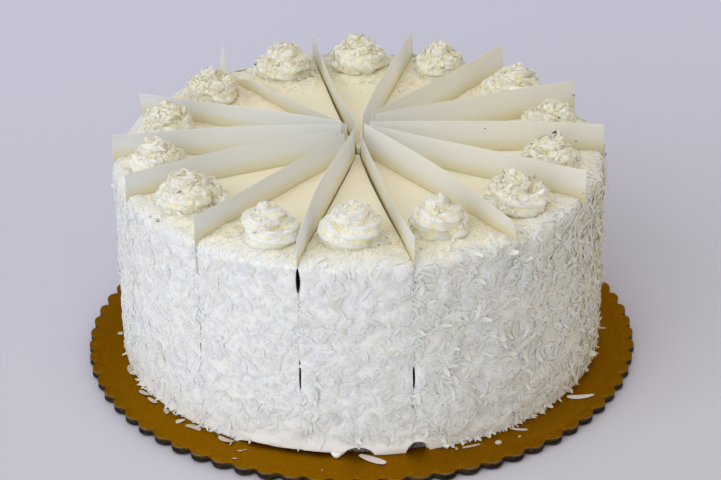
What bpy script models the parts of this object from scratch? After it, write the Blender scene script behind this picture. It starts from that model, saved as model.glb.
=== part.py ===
"""A coconut cake on its gold board, cut through into fourteen slices with a sheet of parchment in each cut.

Units are metres and +Z is up. The origin is the middle of the board's underside.
Azimuths are degrees anticlockwise from +X, about the cake's own axis unless a comment says otherwise.
"""

import math
import random

import bmesh
import bpy
from mathutils import Matrix, Vector

MM = 0.001
GAP = 0.3 * MM  # left between pieces that touch

# Board: a 12 inch round of gold card with a scalloped edge
BOARD_NOTCH_RADIUS = 151.0 * MM
BOARD_TIP_RADIUS = 154.0 * MM
BOARD_THICKNESS = 5.0 * MM
SCALLOPS = 70
SCALLOP_STEPS = 3
FIRST_NOTCH = 1.2  # degrees, about the board's middle

# Thin dark round under the cake, hidden but for two chips in the frosting
BASE_RADIUS = 130.5 * MM
BASE_THICKNESS = 3.5 * MM
BASE_SIDES = 48

# Cake: 10 inch layers under frosting and coconut
CAKE_CENTRE = Vector((-0.3 * MM, 3.5 * MM, 0.0))
CAKE_RADIUS = 135.0 * MM
CAKE_HEIGHT = 112.2 * MM  # from the board's upper face
CAKE_TOP = BOARD_THICKNESS + CAKE_HEIGHT
SHOULDER = 7.0 * MM  # radius of the rim's rounding
FOOT_TUCK = 1.4 * MM  # how far the frosting draws in where it meets the board
SIDE_ROWS = 4
SLICE_STEPS = 5
TIP_RADIUS = 5.0 * MM
KERF = 1.2 * MM
CORNER_DROP = 1.3 * MM  # how far the side rounds back at each cut
CORNER_SHARE = 0.6  # of the slice's half width, where that rounding starts
SIDE_LUMPS = 0.7 * MM

# Chips out of the frosting's foot: azimuth, half width, half depth, height
CHIPS = ((-90.8, 7.0 * MM, 6.0 * MM, 4.4 * MM), (-77.4, 6.0 * MM, 5.0 * MM, 5.4 * MM))
CHIP_REACH = 3.0  # azimuth that a chip spans on each side of its middle

# Parchment sheets, one in each cut, clockwise from the left-hand side
FIRST_CUT = 204.6
PAPER_THICKNESS = 0.5 * MM
PAPER_RADIUS = 134.4 * MM
PAPER_COLUMNS = 6
# turn off an even spacing in degrees; the inner end's radius; the top edge's height over the cake at the
# inner end, middle and rim; how far it bows aside at the middle and rim, all in millimetres
PAPERS = (
    (-1.5, 13.0, 15.5, 15.8, 13.9, -1.5, 1.0),
    (2.9, 9.5, 16.5, 15.9, 14.5, -1.5, 2.5),
    (2.7, 10.0, 16.5, 14.5, 12.5, 0.5, 3.0),
    (-0.6, 10.0, 12.3, 9.5, 5.5, 2.5, -2.5),
    (-0.4, 5.5, 14.0, 12.5, 14.5, 1.2, 0.0),
    (-0.3, 9.0, 17.5, 17.0, 15.4, 1.0, 0.0),
    (0.1, 12.0, 18.5, 17.0, 17.2, 1.5, 1.0),
    (-1.0, 11.0, 20.0, 18.0, 16.2, 2.0, 0.5),
    (-0.3, 6.5, 17.5, 17.3, 15.8, 1.5, 0.0),
    (-0.7, 7.0, 17.5, 16.5, 16.5, 1.0, 1.0),
    (-0.8, 6.0, 19.0, 16.0, 12.0, 1.5, -2.5),
    (0.0, 7.5, 15.0, 14.5, 15.6, -1.8, 0.0),
    (0.3, 8.0, 17.0, 17.5, 14.5, -2.2, 0.0),
    (0.8, 12.0, 15.5, 14.5, 14.8, 0.5, 0.0),
)
SLICES = len(PAPERS)
# The sheet whose outer corner stands up as a thin spike: its number and the spike's height
SPIKE = (4, 13.0 * MM)

# Piped rosettes, one on each slice: distance from the axis, azimuth off the slice's middle, radius of the
# lowest coil and height, the lengths in millimetres
ROSETTES = (
    (112.0, -0.3, 16.0, 22.0),
    (107.5, -0.6, 15.0, 22.0),
    (107.5, -0.9, 15.5, 21.5),
    (109.5, -1.5, 17.5, 20.5),
    (112.0, 1.1, 17.0, 21.5),
    (111.0, 1.5, 16.0, 21.5),
    (111.0, -1.2, 17.5, 22.0),
    (109.0, -1.8, 17.5, 22.0),
    (107.0, -0.2, 17.0, 22.5),
    (108.5, -0.4, 18.0, 22.5),
    (106.0, -1.6, 16.5, 24.0),
    (107.0, -0.9, 18.0, 24.0),
    (112.0, 1.8, 16.0, 22.5),
    (112.0, -1.2, 18.5, 22.0),
)
ROSETTE_SIDES = 16
ROSETTE_ROWS = 11
ROSETTE_TURNS = 2.4
ROSETTE_RIDGES = 5
COIL_DEPTH = 0.24  # of the rosette's radius, from a coil's crest to its groove
RIDGE_DEPTH = 0.06  # of the radius, from a ridge's crest to the coil's mean line

# Coconut flakes: length, width and thickness
FLAKE_LENGTH = (8.0 * MM, 13.0 * MM)
FLAKE_WIDTH = (3.0 * MM, 4.4 * MM)
FLAKE_THICKNESS = 1.3 * MM
FLAKE_SINK = 0.3 * MM  # from the surface to a flake's mid-plane
FLAKE_TILT = 9.0
SIDE_FLAKES = (2, 6)  # columns and rows on each slice's side
TOP_FLAKE_LONGEST = 9.5 * MM
TOP_FLAKE_RADIUS = 127.0  # millimetres from the axis to the flakes in the rim's corners
TOP_FLAKE_INSET = 4.4  # azimuth between a cut and the flake in the rim's corner beside it
TOP_FLAKE_CLEARANCE = 5.4  # least millimetres from the rosette's lowest coil to a flake's middle
SEED = 14

# Flakes fallen on the board: distance from the cake's axis, azimuth, turn, length
FALLEN_FLAKES = (
    (139.5, 178.5, 80.0, 8.0 * MM),
    (139.0, -161.0, 20.0, 7.0 * MM),
    (139.5, -149.3, 35.0, 8.0 * MM),
    (139.5, -134.0, 55.0, 9.0 * MM),
    (139.0, -129.0, 25.0, 6.0 * MM),
    (139.0, -121.3, -15.0, 8.0 * MM),
    (140.0, -86.5, 20.0, 12.0 * MM),
    (140.0, -53.0, 10.0, 7.0 * MM),
    (144.5, -60.0, 35.0, 7.0 * MM),
    (146.0, -55.0, -10.0, 6.0 * MM),
    (142.5, -33.0, -5.0, 12.0 * MM),
)


def clear_scene():
    for obj in list(bpy.data.objects):
        bpy.data.objects.remove(obj, do_unlink=True)


def new_collection(name):
    made = bpy.data.collections.new(name)
    bpy.context.scene.collection.children.link(made)
    return made


def new_material(name, colour, roughness, metallic=0.0):
    """A Principled material of one linear colour."""
    made = bpy.data.materials.new(name)
    made.use_nodes = True
    shader = made.node_tree.nodes["Principled BSDF"]
    shader.inputs["Base Color"].default_value = (*colour, 1.0)
    shader.inputs["Roughness"].default_value = roughness
    shader.inputs["Metallic"].default_value = metallic
    made.diffuse_color = (*colour, 1.0)
    return made


def new_object(name, bm, collection, material=None):
    mesh = bpy.data.meshes.new(name)
    bm.to_mesh(mesh)
    bm.free()
    obj = bpy.data.objects.new(name, mesh)
    if material:
        mesh.materials.append(material)
    collection.objects.link(obj)
    return obj


def shade(obj, angle):
    obj.data.shade_smooth()
    obj.data.set_sharp_from_angle(angle=math.radians(angle))


def apply_boolean(obj, operation, others):
    """Joins or cuts obj with every object of the collection others, and removes them."""
    modifier = obj.modifiers.new(operation.lower(), "BOOLEAN")
    modifier.operation = operation
    modifier.operand_type = "COLLECTION"
    modifier.collection = others
    modifier.solver = "EXACT"
    bpy.context.view_layer.objects.active = obj
    bpy.ops.object.modifier_apply(modifier=modifier.name)
    for other in list(others.objects):
        bpy.data.objects.remove(other, do_unlink=True)


def polar(radius, azimuth, height):
    """A point at this distance and azimuth in degrees from the cake's axis."""
    turned = math.radians(azimuth)
    return CAKE_CENTRE + Vector((radius * math.cos(turned), radius * math.sin(turned), height))


def blend(values, share):
    """The smooth curve through three values at shares 0, 0.5 and 1."""
    first, middle, last = values
    return first + (last - first) * share + 4 * (middle - (first + last) / 2) * share * (1 - share)


def paper_azimuth(index):
    """The azimuth of a cut. Cuts run clockwise, so the one after the last is the first, a turn further on."""
    return FIRST_CUT - index * 360 / SLICES + PAPERS[index % SLICES][0]


def slice_span(index):
    """The azimuths where a slice starts and ends, the smaller first."""
    return paper_azimuth(index + 1), paper_azimuth(index)


def add_board(collection, material):
    """A flat scalloped outline with convex arcs between sharp notches, extruded both ways."""
    curve = bpy.data.curves.new("cake_board", "CURVE")
    curve.dimensions = "2D"
    curve.fill_mode = "BOTH"
    curve.extrude = BOARD_THICKNESS / 2
    spline = curve.splines.new("POLY")
    spline.use_cyclic_u = True
    count = SCALLOPS * SCALLOP_STEPS
    spline.points.add(count - 1)
    for number, point in enumerate(spline.points):
        azimuth = math.radians(FIRST_NOTCH) + math.tau * number / count
        swell = math.sin(math.pi * (number % SCALLOP_STEPS) / SCALLOP_STEPS) ** 0.8
        radius = BOARD_NOTCH_RADIUS + (BOARD_TIP_RADIUS - BOARD_NOTCH_RADIUS) * swell
        point.co = (radius * math.cos(azimuth), radius * math.sin(azimuth), 0.0, 1.0)
    outline = bpy.data.objects.new("board_outline", curve)
    outline.location.z = BOARD_THICKNESS / 2
    collection.objects.link(outline)
    bpy.context.view_layer.update()
    solid = outline.evaluated_get(bpy.context.evaluated_depsgraph_get())
    mesh = bpy.data.meshes.new_from_object(solid)
    bm = bmesh.new()
    bm.from_mesh(mesh)
    bm.transform(outline.matrix_world)
    bmesh.ops.remove_doubles(bm, verts=bm.verts, dist=0.01 * MM)
    bpy.data.objects.remove(outline, do_unlink=True)
    bpy.data.meshes.remove(mesh)
    return new_object("cake_board", bm, collection, material)


def add_inner_base(collection, material):
    bm = bmesh.new()
    middle = CAKE_CENTRE + Vector((0, 0, BOARD_THICKNESS + GAP + BASE_THICKNESS / 2))
    bmesh.ops.create_cone(bm, cap_ends=True, segments=BASE_SIDES, radius1=BASE_RADIUS, radius2=BASE_RADIUS,
                          depth=BASE_THICKNESS, matrix=Matrix.Translation(middle))
    return new_object("inner_base", bm, collection, material)


def slice_profile():
    """The slice's section from the tip's foot out, up the side and back: pairs of radius and height."""
    foot = BOARD_THICKNESS + GAP
    floor = foot + BASE_THICKNESS + GAP
    skirt = BASE_RADIUS + 2 * GAP
    points = [(TIP_RADIUS, floor), (skirt, floor), (skirt, foot)]
    rim = CAKE_TOP - SHOULDER
    points += [(CAKE_RADIUS, foot + (rim - foot) * row / SIDE_ROWS) for row in range(SIDE_ROWS + 1)]
    for step in (1, 2):
        angle = math.radians(45 * step)
        points.append((CAKE_RADIUS - SHOULDER * (1 - math.cos(angle)), rim + SHOULDER * math.sin(angle)))
    points.append((TIP_RADIUS, CAKE_TOP))
    return points


def side_offset(azimuth, across, height):
    """How far the side stands out of a true cylinder, across being 0 at the slice's middle and 1 at a cut."""
    turned = math.radians(azimuth)
    lumps = SIDE_LUMPS * (math.sin(5 * turned + 60 * height) + math.sin(11 * turned - 90 * height + 2)) / 2
    corner = CORNER_DROP * max(0.0, (abs(across) - CORNER_SHARE) / (1 - CORNER_SHARE))
    lowest_row = (CAKE_TOP - SHOULDER - BOARD_THICKNESS) / SIDE_ROWS
    tuck = FOOT_TUCK * max(0.0, 1 - (height - BOARD_THICKNESS) / lowest_row)
    return lumps - corner - tuck


def slice_body(index):
    """A wedge spun from its section, its cut faces then set parallel to the cuts and its side made uneven."""
    first, last = slice_span(index)
    bm = bmesh.new()
    section = bm.faces.new([bm.verts.new((radius, 0.0, height)) for radius, height in slice_profile()])
    bmesh.ops.spin(bm, geom=[section, *section.edges, *section.verts], axis=(0, 0, 1), cent=(0, 0, 0),
                   angle=math.radians(last - first), steps=SLICE_STEPS, use_duplicate=False)
    middle, half = (first + last) / 2, (last - first) / 2
    for vert in bm.verts:
        radius = math.hypot(vert.co.x, vert.co.y)
        across = math.degrees(math.atan2(vert.co.y, vert.co.x)) / half - 1
        height = vert.co.z
        if radius > CAKE_RADIUS - SHOULDER / 2:
            radius += side_offset(middle + across * half, across, height)
        azimuth = middle + across * (half - math.degrees(math.asin(KERF / 2 / radius)))
        vert.co = polar(radius, azimuth, height)
    bmesh.ops.recalc_face_normals(bm, faces=bm.faces)
    return bm


def add_chip_cutters(collection):
    """Squashed balls at the frosting's foot, one for each chip."""
    for number, (azimuth, half_width, half_depth, height) in enumerate(CHIPS):
        bm = bmesh.new()
        place = (Matrix.Translation(polar(CAKE_RADIUS, azimuth, BOARD_THICKNESS))
                 @ Matrix.Rotation(math.radians(azimuth), 4, "Z")
                 @ Matrix.Diagonal((half_depth, half_width, height, 1.0)))
        bmesh.ops.create_icosphere(bm, subdivisions=2, radius=1.0, matrix=place)
        new_object(f"chip_{number}", bm, collection)


def add_flake(collection, place, normal, heading, length, width, tilt):
    """A tapered strip lying at a place on a surface, sunk a little, its broad end lifted by the tilt."""
    up = normal.normalized()
    along = Vector((0, 0, 1)).cross(up)
    along = along.normalized() if along.length > 0.1 else Vector((1, 0, 0))
    along = Matrix.Rotation(math.radians(heading), 3, up) @ along
    axes = Matrix((along, up.cross(along), up)).transposed().to_4x4()
    bm = bmesh.new()
    bmesh.ops.create_cube(bm, size=1.0)
    for vert in bm.verts:
        vert.co.y *= 0.55 if vert.co.x > 0 else 1.0
        vert.co = (vert.co.x * length, vert.co.y * width, vert.co.z * FLAKE_THICKNESS)
    lean = Matrix.Rotation(math.radians(tilt), 4, "Y")
    bm.transform(Matrix.Translation(place) @ axes @ lean)
    return new_object("flake", bm, collection)


def random_flake(rng, collection, place, normal, heading, longest):
    length = rng.uniform(FLAKE_LENGTH[0], longest)
    add_flake(collection, place, normal, heading, length, rng.uniform(*FLAKE_WIDTH),
              rng.uniform(FLAKE_TILT / 3, FLAKE_TILT))


def scatter_side_flakes(rng, collection, index):
    """Flakes in even cells over the slice's side, each moved a little within its cell."""
    first, last = slice_span(index)
    columns, rows = SIDE_FLAKES
    margin = math.degrees((FLAKE_LENGTH[1] / 2 + KERF) / CAKE_RADIUS)
    low, high = BOARD_THICKNESS + 12 * MM, CAKE_TOP - SHOULDER - 3 * MM
    for column in range(columns):
        for row in range(rows):
            place = (column + 0.5 + rng.uniform(-0.25, 0.25)) / columns
            azimuth = first + margin + (last - first - 2 * margin) * place
            across = (2 * azimuth - first - last) / (last - first)
            rise = (row + 0.25 + 0.5 * (column % 2) + rng.uniform(-0.15, 0.15)) / rows
            height = low + (high - low) * rise
            outward = polar(1.0, azimuth, 0.0) - CAKE_CENTRE
            radius = CAKE_RADIUS + side_offset(azimuth, across, height) - FLAKE_SINK
            random_flake(rng, collection, polar(radius, azimuth, height), outward, rng.uniform(0, 360),
                         FLAKE_LENGTH[1])


def scatter_top_flakes(rng, collection, index):
    """Flakes round the rosette, lying across the line to it: one behind it and one in each rim corner."""
    distance, turn, coil, _ = ROSETTES[index]
    first, last = slice_span(index)
    middle = (first + last) / 2
    rosette = polar(distance * MM, middle + turn, CAKE_TOP - FLAKE_SINK)
    for side in (-1, 0, 1):
        azimuth = middle + turn * 0.4 + side * ((last - first) / 2 - TOP_FLAKE_INSET)
        radius = TOP_FLAKE_RADIUS if side else distance - coil - TOP_FLAKE_CLEARANCE - 1
        heading = azimuth + 90 + 45 * side + rng.uniform(-15, 15)
        place = polar(radius * MM, azimuth, CAKE_TOP - FLAKE_SINK)
        if (place - rosette).length > (coil + TOP_FLAKE_CLEARANCE) * MM:
            random_flake(rng, collection, place, Vector((0, 0, 1)), heading, TOP_FLAKE_LONGEST)


def add_slices(collection, helpers, material):
    rng = random.Random(SEED)
    for index in range(SLICES):
        obj = new_object(f"slice_{index + 1:02d}", slice_body(index), collection, material)
        first, last = slice_span(index)
        if any((azimuth + CHIP_REACH - first) % 360 < last - first + 2 * CHIP_REACH for azimuth, *_ in CHIPS):
            add_chip_cutters(helpers)
            apply_boolean(obj, "DIFFERENCE", helpers)
        scatter_side_flakes(rng, helpers, index)
        scatter_top_flakes(rng, helpers, index)
        apply_boolean(obj, "UNION", helpers)
        shade(obj, 35)


def add_papers(collection, material):
    """Sheets that stand straight in their cuts and bow aside where they rise over the cake."""
    sheet_foot = BOARD_THICKNESS + BASE_THICKNESS + 3 * GAP
    for index, (_, inner, *edges) in enumerate(PAPERS):
        heights, bows = edges[:3], (0.0, *edges[3:])
        azimuth = paper_azimuth(index)
        bm = bmesh.new()
        bmesh.ops.create_grid(bm, x_segments=PAPER_COLUMNS, y_segments=2, size=0.5)
        side = Vector((-math.sin(math.radians(azimuth)), math.cos(math.radians(azimuth)), 0))
        for vert in bm.verts:
            share, level = vert.co.x + 0.5, round(2 * (vert.co.y + 0.5))
            radius = inner * MM + (PAPER_RADIUS - inner * MM) * share
            height = (sheet_foot, CAKE_TOP, CAKE_TOP + blend(heights, share) * MM)[level]
            aside = blend(bows, share) * MM if level == 2 else 0.0
            if index + 1 == SPIKE[0] and level == 2 and share > 0.99:
                height += SPIKE[1]
            vert.co = polar(radius, azimuth, height) + side * aside
        obj = new_object(f"paper_{index + 1:02d}", bm, collection, material)
        wall = obj.modifiers.new("wall", "SOLIDIFY")
        wall.thickness = PAPER_THICKNESS
        wall.offset = 0.0
        shade(obj, 35)


def rosette_outline(share):
    """The rosette's radius at a share of its height, as a part of the lowest coil's radius."""
    return 0.96 * max(0.0, 1 - share ** 1.7) ** 0.7


def rosette_radius(share, turned, spin):
    """The same for one direction, with the coils that climb as they turn and the slanting ridges on them."""
    coil = (share * ROSETTE_TURNS - (turned + spin) / math.tau) % 1.0
    bulge = COIL_DEPTH * (math.sin(math.pi * coil) ** 0.7 - 0.65)
    ridge = RIDGE_DEPTH * math.cos(ROSETTE_RIDGES * turned + 7 * share + spin)
    radius = rosette_outline(share) + (bulge + ridge) * math.sqrt(1 - share)
    return max(radius, 0.03)


def rosette_body(index):
    """A ball's grid of faces, its lowest row spread flat as the base and the rest set on the swirl."""
    distance, turn, coil_radius, tall = (value * MM for value in ROSETTES[index])
    azimuth = sum(slice_span(index)) / 2 + turn / MM
    spin = 2.4 * index
    lean = Vector((math.cos(spin), math.sin(spin), 0)) * 1.5 * MM
    place = polar(distance, azimuth, CAKE_TOP + GAP)
    bm = bmesh.new()
    bmesh.ops.create_uvsphere(bm, u_segments=ROSETTE_SIDES, v_segments=ROSETTE_ROWS, radius=1.0)
    for vert in bm.verts:
        level = round(ROSETTE_ROWS * (1 - math.acos(max(-1.0, min(1.0, vert.co.z))) / math.pi))
        turned = math.atan2(vert.co.y, vert.co.x)
        share = max(0, level - 1) / (ROSETTE_ROWS - 1)
        radius = 0.0 if level in (0, ROSETTE_ROWS) else coil_radius * rosette_radius(share, turned, spin)
        outward = Vector((math.cos(turned), math.sin(turned), 0))
        vert.co = place + outward * radius + lean * share + Vector((0, 0, share * tall))
    bmesh.ops.recalc_face_normals(bm, faces=bm.faces)
    return bm, place, coil_radius, tall, spin


def add_rosettes(collection, helpers, material):
    rng = random.Random(SEED + 1)
    for index in range(SLICES):
        bm, place, coil_radius, tall, spin = rosette_body(index)
        obj = new_object(f"rosette_{index + 1:02d}", bm, collection, material)
        for number, share in enumerate((0.22, 0.48)):
            turned = spin + 2.3 * number + rng.uniform(0, 1)
            radius = coil_radius * (rosette_radius(share, turned, spin) - 0.02)
            outward = Vector((math.cos(turned), math.sin(turned), 0))
            spot = place + outward * radius + Vector((0, 0, share * tall))
            add_flake(helpers, spot, outward + Vector((0, 0, 0.9)), rng.uniform(-50, 50), 8 * MM,
                      rng.uniform(*FLAKE_WIDTH), rng.uniform(2, 6))
        apply_boolean(obj, "UNION", helpers)
        shade(obj, 50)


def drop_flakes_on_board(board, helpers):
    for radius, azimuth, heading, length in FALLEN_FLAKES:
        place = polar(radius * MM, azimuth, BOARD_THICKNESS + FLAKE_SINK)
        add_flake(helpers, place, Vector((0, 0, 1)), heading, length, FLAKE_WIDTH[0], FLAKE_TILT / 3)
    apply_boolean(board, "UNION", helpers)


def main():
    clear_scene()
    cake = new_collection("coconut_cake")
    helpers = new_collection("helpers")
    coconut = new_material("coconut_cream", (0.72, 0.70, 0.62), 0.6)
    cream = new_material("whipped_cream", (0.76, 0.73, 0.60), 0.45)
    parchment = new_material("parchment", (0.62, 0.60, 0.52), 0.5)
    gold = new_material("gold_card", (0.24, 0.12, 0.01), 0.45, 0.3)
    dark = new_material("dark_card", (0.02, 0.02, 0.025), 0.3)
    board = add_board(cake, gold)
    drop_flakes_on_board(board, helpers)
    add_inner_base(cake, dark)
    add_slices(cake, helpers, coconut)
    add_papers(cake, parchment)
    add_rosettes(cake, helpers, cream)
    bpy.data.collections.remove(helpers)


main()
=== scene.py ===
"""The looks of a coconut cake that is cut into slices with parchment between them, on its gold board.

Lengths are metres and +Z is up. Azimuths are degrees anticlockwise from +X about the cake's own axis, which
stands a little behind the middle of the board.
"""

import math

import bmesh
import bpy
import numpy as np
from mathutils import Matrix, Vector
from mathutils.bvhtree import BVHTree


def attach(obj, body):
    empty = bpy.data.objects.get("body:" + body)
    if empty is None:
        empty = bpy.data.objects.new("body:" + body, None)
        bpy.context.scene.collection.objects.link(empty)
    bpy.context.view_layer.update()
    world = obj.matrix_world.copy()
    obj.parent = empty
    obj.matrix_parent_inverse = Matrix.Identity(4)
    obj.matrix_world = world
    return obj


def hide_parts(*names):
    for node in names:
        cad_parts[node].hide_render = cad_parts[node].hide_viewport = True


MM = 0.001
GAP = 0.3 * MM

# The board, a round of two corrugated cards under gold foil
BOARD_TOP = 5.0 * MM
BOARD_NOTCH = 151.0 * MM
BOARD_TIP = 154.0 * MM
SCALLOPS = 70
SCALLOP_STEPS = 10
FIRST_NOTCH = 1.2

# The dark round under the cake
BASE_TOP = 8.8 * MM
SKIRT_RADIUS = 131.1 * MM

# The cake, with the cream's own side a little inside the coconut's
CAKE_CENTRE = Vector((-0.3 * MM, 3.5 * MM, 0.0))
CAKE_RADIUS = 135.0 * MM
CREAM_RADIUS = 133.9 * MM
CAKE_TOP = 117.2 * MM
SHOULDER = 4.5 * MM
TIP_RADIUS = 5.0 * MM
DRUM_SIDES = 448
SIDE_RINGS = 54
TOP_STEPS = 17 * (2.3 * MM,) + 17 * (4.8 * MM,)
LUMPS = (("spatula_lumps", 22 * MM, 3.4 * MM), ("coconut_lumps", 7 * MM, 2.6 * MM))
# Heaps of cream and coconut: their height beside a rosette and over a slice's outer part, where that part
# starts, and the stretches of the rim that are heaped too: azimuth, half width, height
MOUND = 2.4 * MM
HEAP = 1.8 * MM
HEAP_START = 80.0 * MM
RIM_HEAPS = ((-2.0, 13.0, 0.8), (-38.0, 8.0, 0.5), (60.0, 30.0, 0.6), (150.0, 30.0, 0.4))
CORNER_DROP = 0.45 * MM
CORNER_REACH = 4.5 * MM

# Chips out of the frosting's foot: azimuth, half width, half depth, height
CHIPS = ((-90.8, 8.4 * MM, 6.4 * MM, 5.4 * MM), (-77.4, 6.6 * MM, 6.0 * MM, 6.2 * MM))

# Parchment sheets, clockwise from the left: turn off an even spacing, the inner end's radius, the top edge's
# height over the cake at the inner end, middle and rim, and how far it bows aside at the middle and rim
FIRST_CUT = 204.6
PAPER_RADIUS = 134.4 * MM
PAPER_FOOT = 9.4 * MM
PAPER_WALL = 0.22 * MM
PAPER_RECESS = 3.6 * MM
PAPERS = (
    (-1.5, 13.0, 15.5, 15.8, 13.9, -1.5, 1.0),
    (2.9, 9.5, 16.5, 15.9, 14.5, -1.5, 2.5),
    (2.7, 10.0, 16.5, 14.5, 12.5, 0.5, 3.0),
    (-0.6, 10.0, 12.3, 9.5, 5.5, 2.5, -2.5),
    (-0.4, 5.5, 14.0, 12.5, 14.5, 1.2, 0.0),
    (-0.3, 9.0, 17.5, 17.0, 15.4, 1.0, 0.0),
    (0.1, 12.0, 18.5, 17.0, 17.2, 1.5, 1.0),
    (-1.0, 11.0, 20.0, 18.0, 16.2, 2.0, 0.5),
    (-0.3, 6.5, 17.5, 17.3, 15.8, 1.5, 0.0),
    (-0.7, 7.0, 17.5, 16.5, 16.5, 1.0, 1.0),
    (-0.8, 6.0, 19.0, 16.0, 12.0, 1.5, -2.5),
    (0.0, 7.5, 15.0, 14.5, 15.6, -1.8, 0.0),
    (0.3, 8.0, 17.0, 17.5, 14.5, -2.2, 0.0),
    (0.8, 12.0, 15.5, 14.5, 14.8, 0.5, 0.0),
)
SLICES = len(PAPERS)
# The sheet whose outer part is low and whose corner stands up as a thin spike: its number, how much it drops,
# where it has dropped, the spike's height and where the spike starts
SPIKE = (4, 4.0 * MM, 0.86, 17.0 * MM, 0.962)
CUT_HALF = 0.22 * MM
# How far the top edge draws back from the sheets on a slice's clockwise and anticlockwise sides
OPENED = {12: (0.9 * MM, 1.6 * MM), 4: (1.5 * MM, 0.0)}
OPENED_REACH = 9.0 * MM
# Slits where the frosting parts beside a sheet: the sheet's number, middle height, half height, half width
SLITS = (
    (13, 107.0 * MM, 7.5 * MM, 1.15 * MM),
    (13, 52.0 * MM, 10.0 * MM, 0.6 * MM),
    (12, 50.0 * MM, 7.0 * MM, 0.7 * MM),
    (14, 55.0 * MM, 4.5 * MM, 0.5 * MM),
)
SLIT_DEPTH = 14 * MM
SHEET_BEHIND_SLIT = 6 * MM
# Below this height the frosting closes over the sheets' outer edges
SHEETS_SHOW = 102.0 * MM

# Piped rosettes: distance from the axis, azimuth off the slice's middle, lowest coil's radius, height
ROSETTES = (
    (112.0, -0.3, 16.0, 22.0),
    (107.5, -0.6, 15.0, 22.0),
    (107.5, -0.9, 15.5, 21.5),
    (109.5, -1.5, 17.5, 20.5),
    (112.0, 1.1, 17.0, 21.5),
    (111.0, 1.5, 16.0, 21.5),
    (111.0, -1.2, 17.5, 22.0),
    (109.0, -1.8, 17.5, 22.0),
    (107.0, -0.2, 17.0, 22.5),
    (108.5, -0.4, 18.0, 22.5),
    (106.0, -1.6, 16.5, 24.0),
    (107.0, -0.9, 18.0, 24.0),
    (112.0, 1.8, 16.0, 22.5),
    (112.0, -1.2, 18.5, 22.0),
)
ROPE_SHARE = 0.43  # of the coil's radius: the piped rope's own radius at the bottom
ROPE_TURNS = 2.3
ROPE_TWIST = 9.5  # radians that the star turns along the rope
STAR_POINTS = 6
STAR_DEPTH = 0.26
ROPE_VOXEL = 0.55 * MM
SMOOTHING_ROUNDS = 25  # that tell a rosette's grooves from its crests
# The coconut heaped round a rosette: its foot and top radius as parts of the coil's, its height as a part of
# the rosette's
SKIRT = (1.2, 0.62, 0.17)
# The coconut's own relief in a rosette's grooves: name, grain and height
FUZZ = (("coconut_fuzz", 3.4 * MM, 1.8 * MM), ("coconut_fine_fuzz", 1.6 * MM, 0.8 * MM))
# The ripples in the cream of a clear rosette, and in one that is buried in coconut
RIPPLES = (1.5 * MM, 4.5 * MM)

# Coconut
FLAKE_WALL = 0.24 * MM
SEED = 20
# Name, flakes on a calm and on a wild slice, lengths and widths in millimetres, tilt, height off the surface,
# bend, cross-sections and the mean tone between white and straw
SIDE_COCONUT = (
    ("coconut_long_shreds", 140, 520, (5, 12), (1.0, 2.4), 3.5, (-0.14, 0.75), (-0.2, 0.5), 5, 0.3),
    ("coconut_broad_flakes", 110, 200, (4, 8), (1.8, 2.9), 1.5, (-0.14, 0.34), (-0.2, 0.3), 5, 0.3),
    ("coconut_short_flakes", 860, 560, (2.2, 5), (0.8, 1.8), 2.5, (-0.14, 0.4), (-0.2, 0.3), 3, 0.3),
    ("coconut_loose_shreds", 8, 110, (5, 10), (1.1, 2.7), 10.0, (0.2, 0.9), (-0.2, 0.6), 5, 0.3),
    ("coconut_curls", 1, 55, (7, 13), (1.8, 3.4), 6.0, (0.3, 1.2), (0.9, 0.9), 6, 0.35),
)
TOP_COCONUT = (
    ("coconut_on_top", 210, 260, (2.2, 5), (0.8, 1.8), 3.0, (-0.16, 0.22), (-0.2, 0.3), 4, 0.55),
    ("coconut_crumbs", 680, 680, (1.1, 3.0), (0.7, 1.6), 6.0, (-0.14, 0.26), (-0.2, 0.3), 3, 0.55),
    ("coconut_loose_on_top", 7, 12, (3, 7), (0.8, 1.8), 14.0, (0.1, 0.7), (-0.2, 0.5), 4, 0.5),
)
ROSETTE_COCONUT = (
    ("coconut_on_rosettes", 110, 240, (1.5, 5.0), (0.8, 2.2), 6.0, (-0.16, 0.2), (-0.2, 0.5), 4, 0.6),
    ("coconut_loose_on_rosettes", 30, 150, (2.5, 7.0), (0.9, 2.4), 20.0, (0.0, 0.7), (-0.2, 0.8), 4, 0.5),
)

# Dark and red specks on the sheets: sheet, distance from the axis, height over the cake, radius
DARK_SPECKS = ((9, 69.4, 13.0, 0.42), (9, 69.0, 10.6, 0.22), (9, 119.2, 5.6, 0.45), (9, 129.6, 5.0, 0.25),
               (9, 131.0, 6.2, 0.2), (9, 126.9, 4.4, 0.2), (10, 133.1, 3.3, 0.35))
RED_SPECKS = ((8, 133.2, 8.1, 0.35), (8, 133.9, 7.2, 0.5), (8, 132.4, 7.6, 0.25), (8, 133.6, 6.5, 0.25))

# Nibs and hooks of cream over the foot's lip: azimuth, reach along the foot, reach out, thickness
NIBS = ((-95.8, 6.4 * MM, 2.6 * MM, 1.35 * MM), (-116.0, 1.6 * MM, 2.2 * MM, 0.7 * MM),
        (-104.5, 1.2 * MM, 1.2 * MM, 0.45 * MM), (-70.8, 4.4 * MM, 2.0 * MM, 0.9 * MM))

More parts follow.
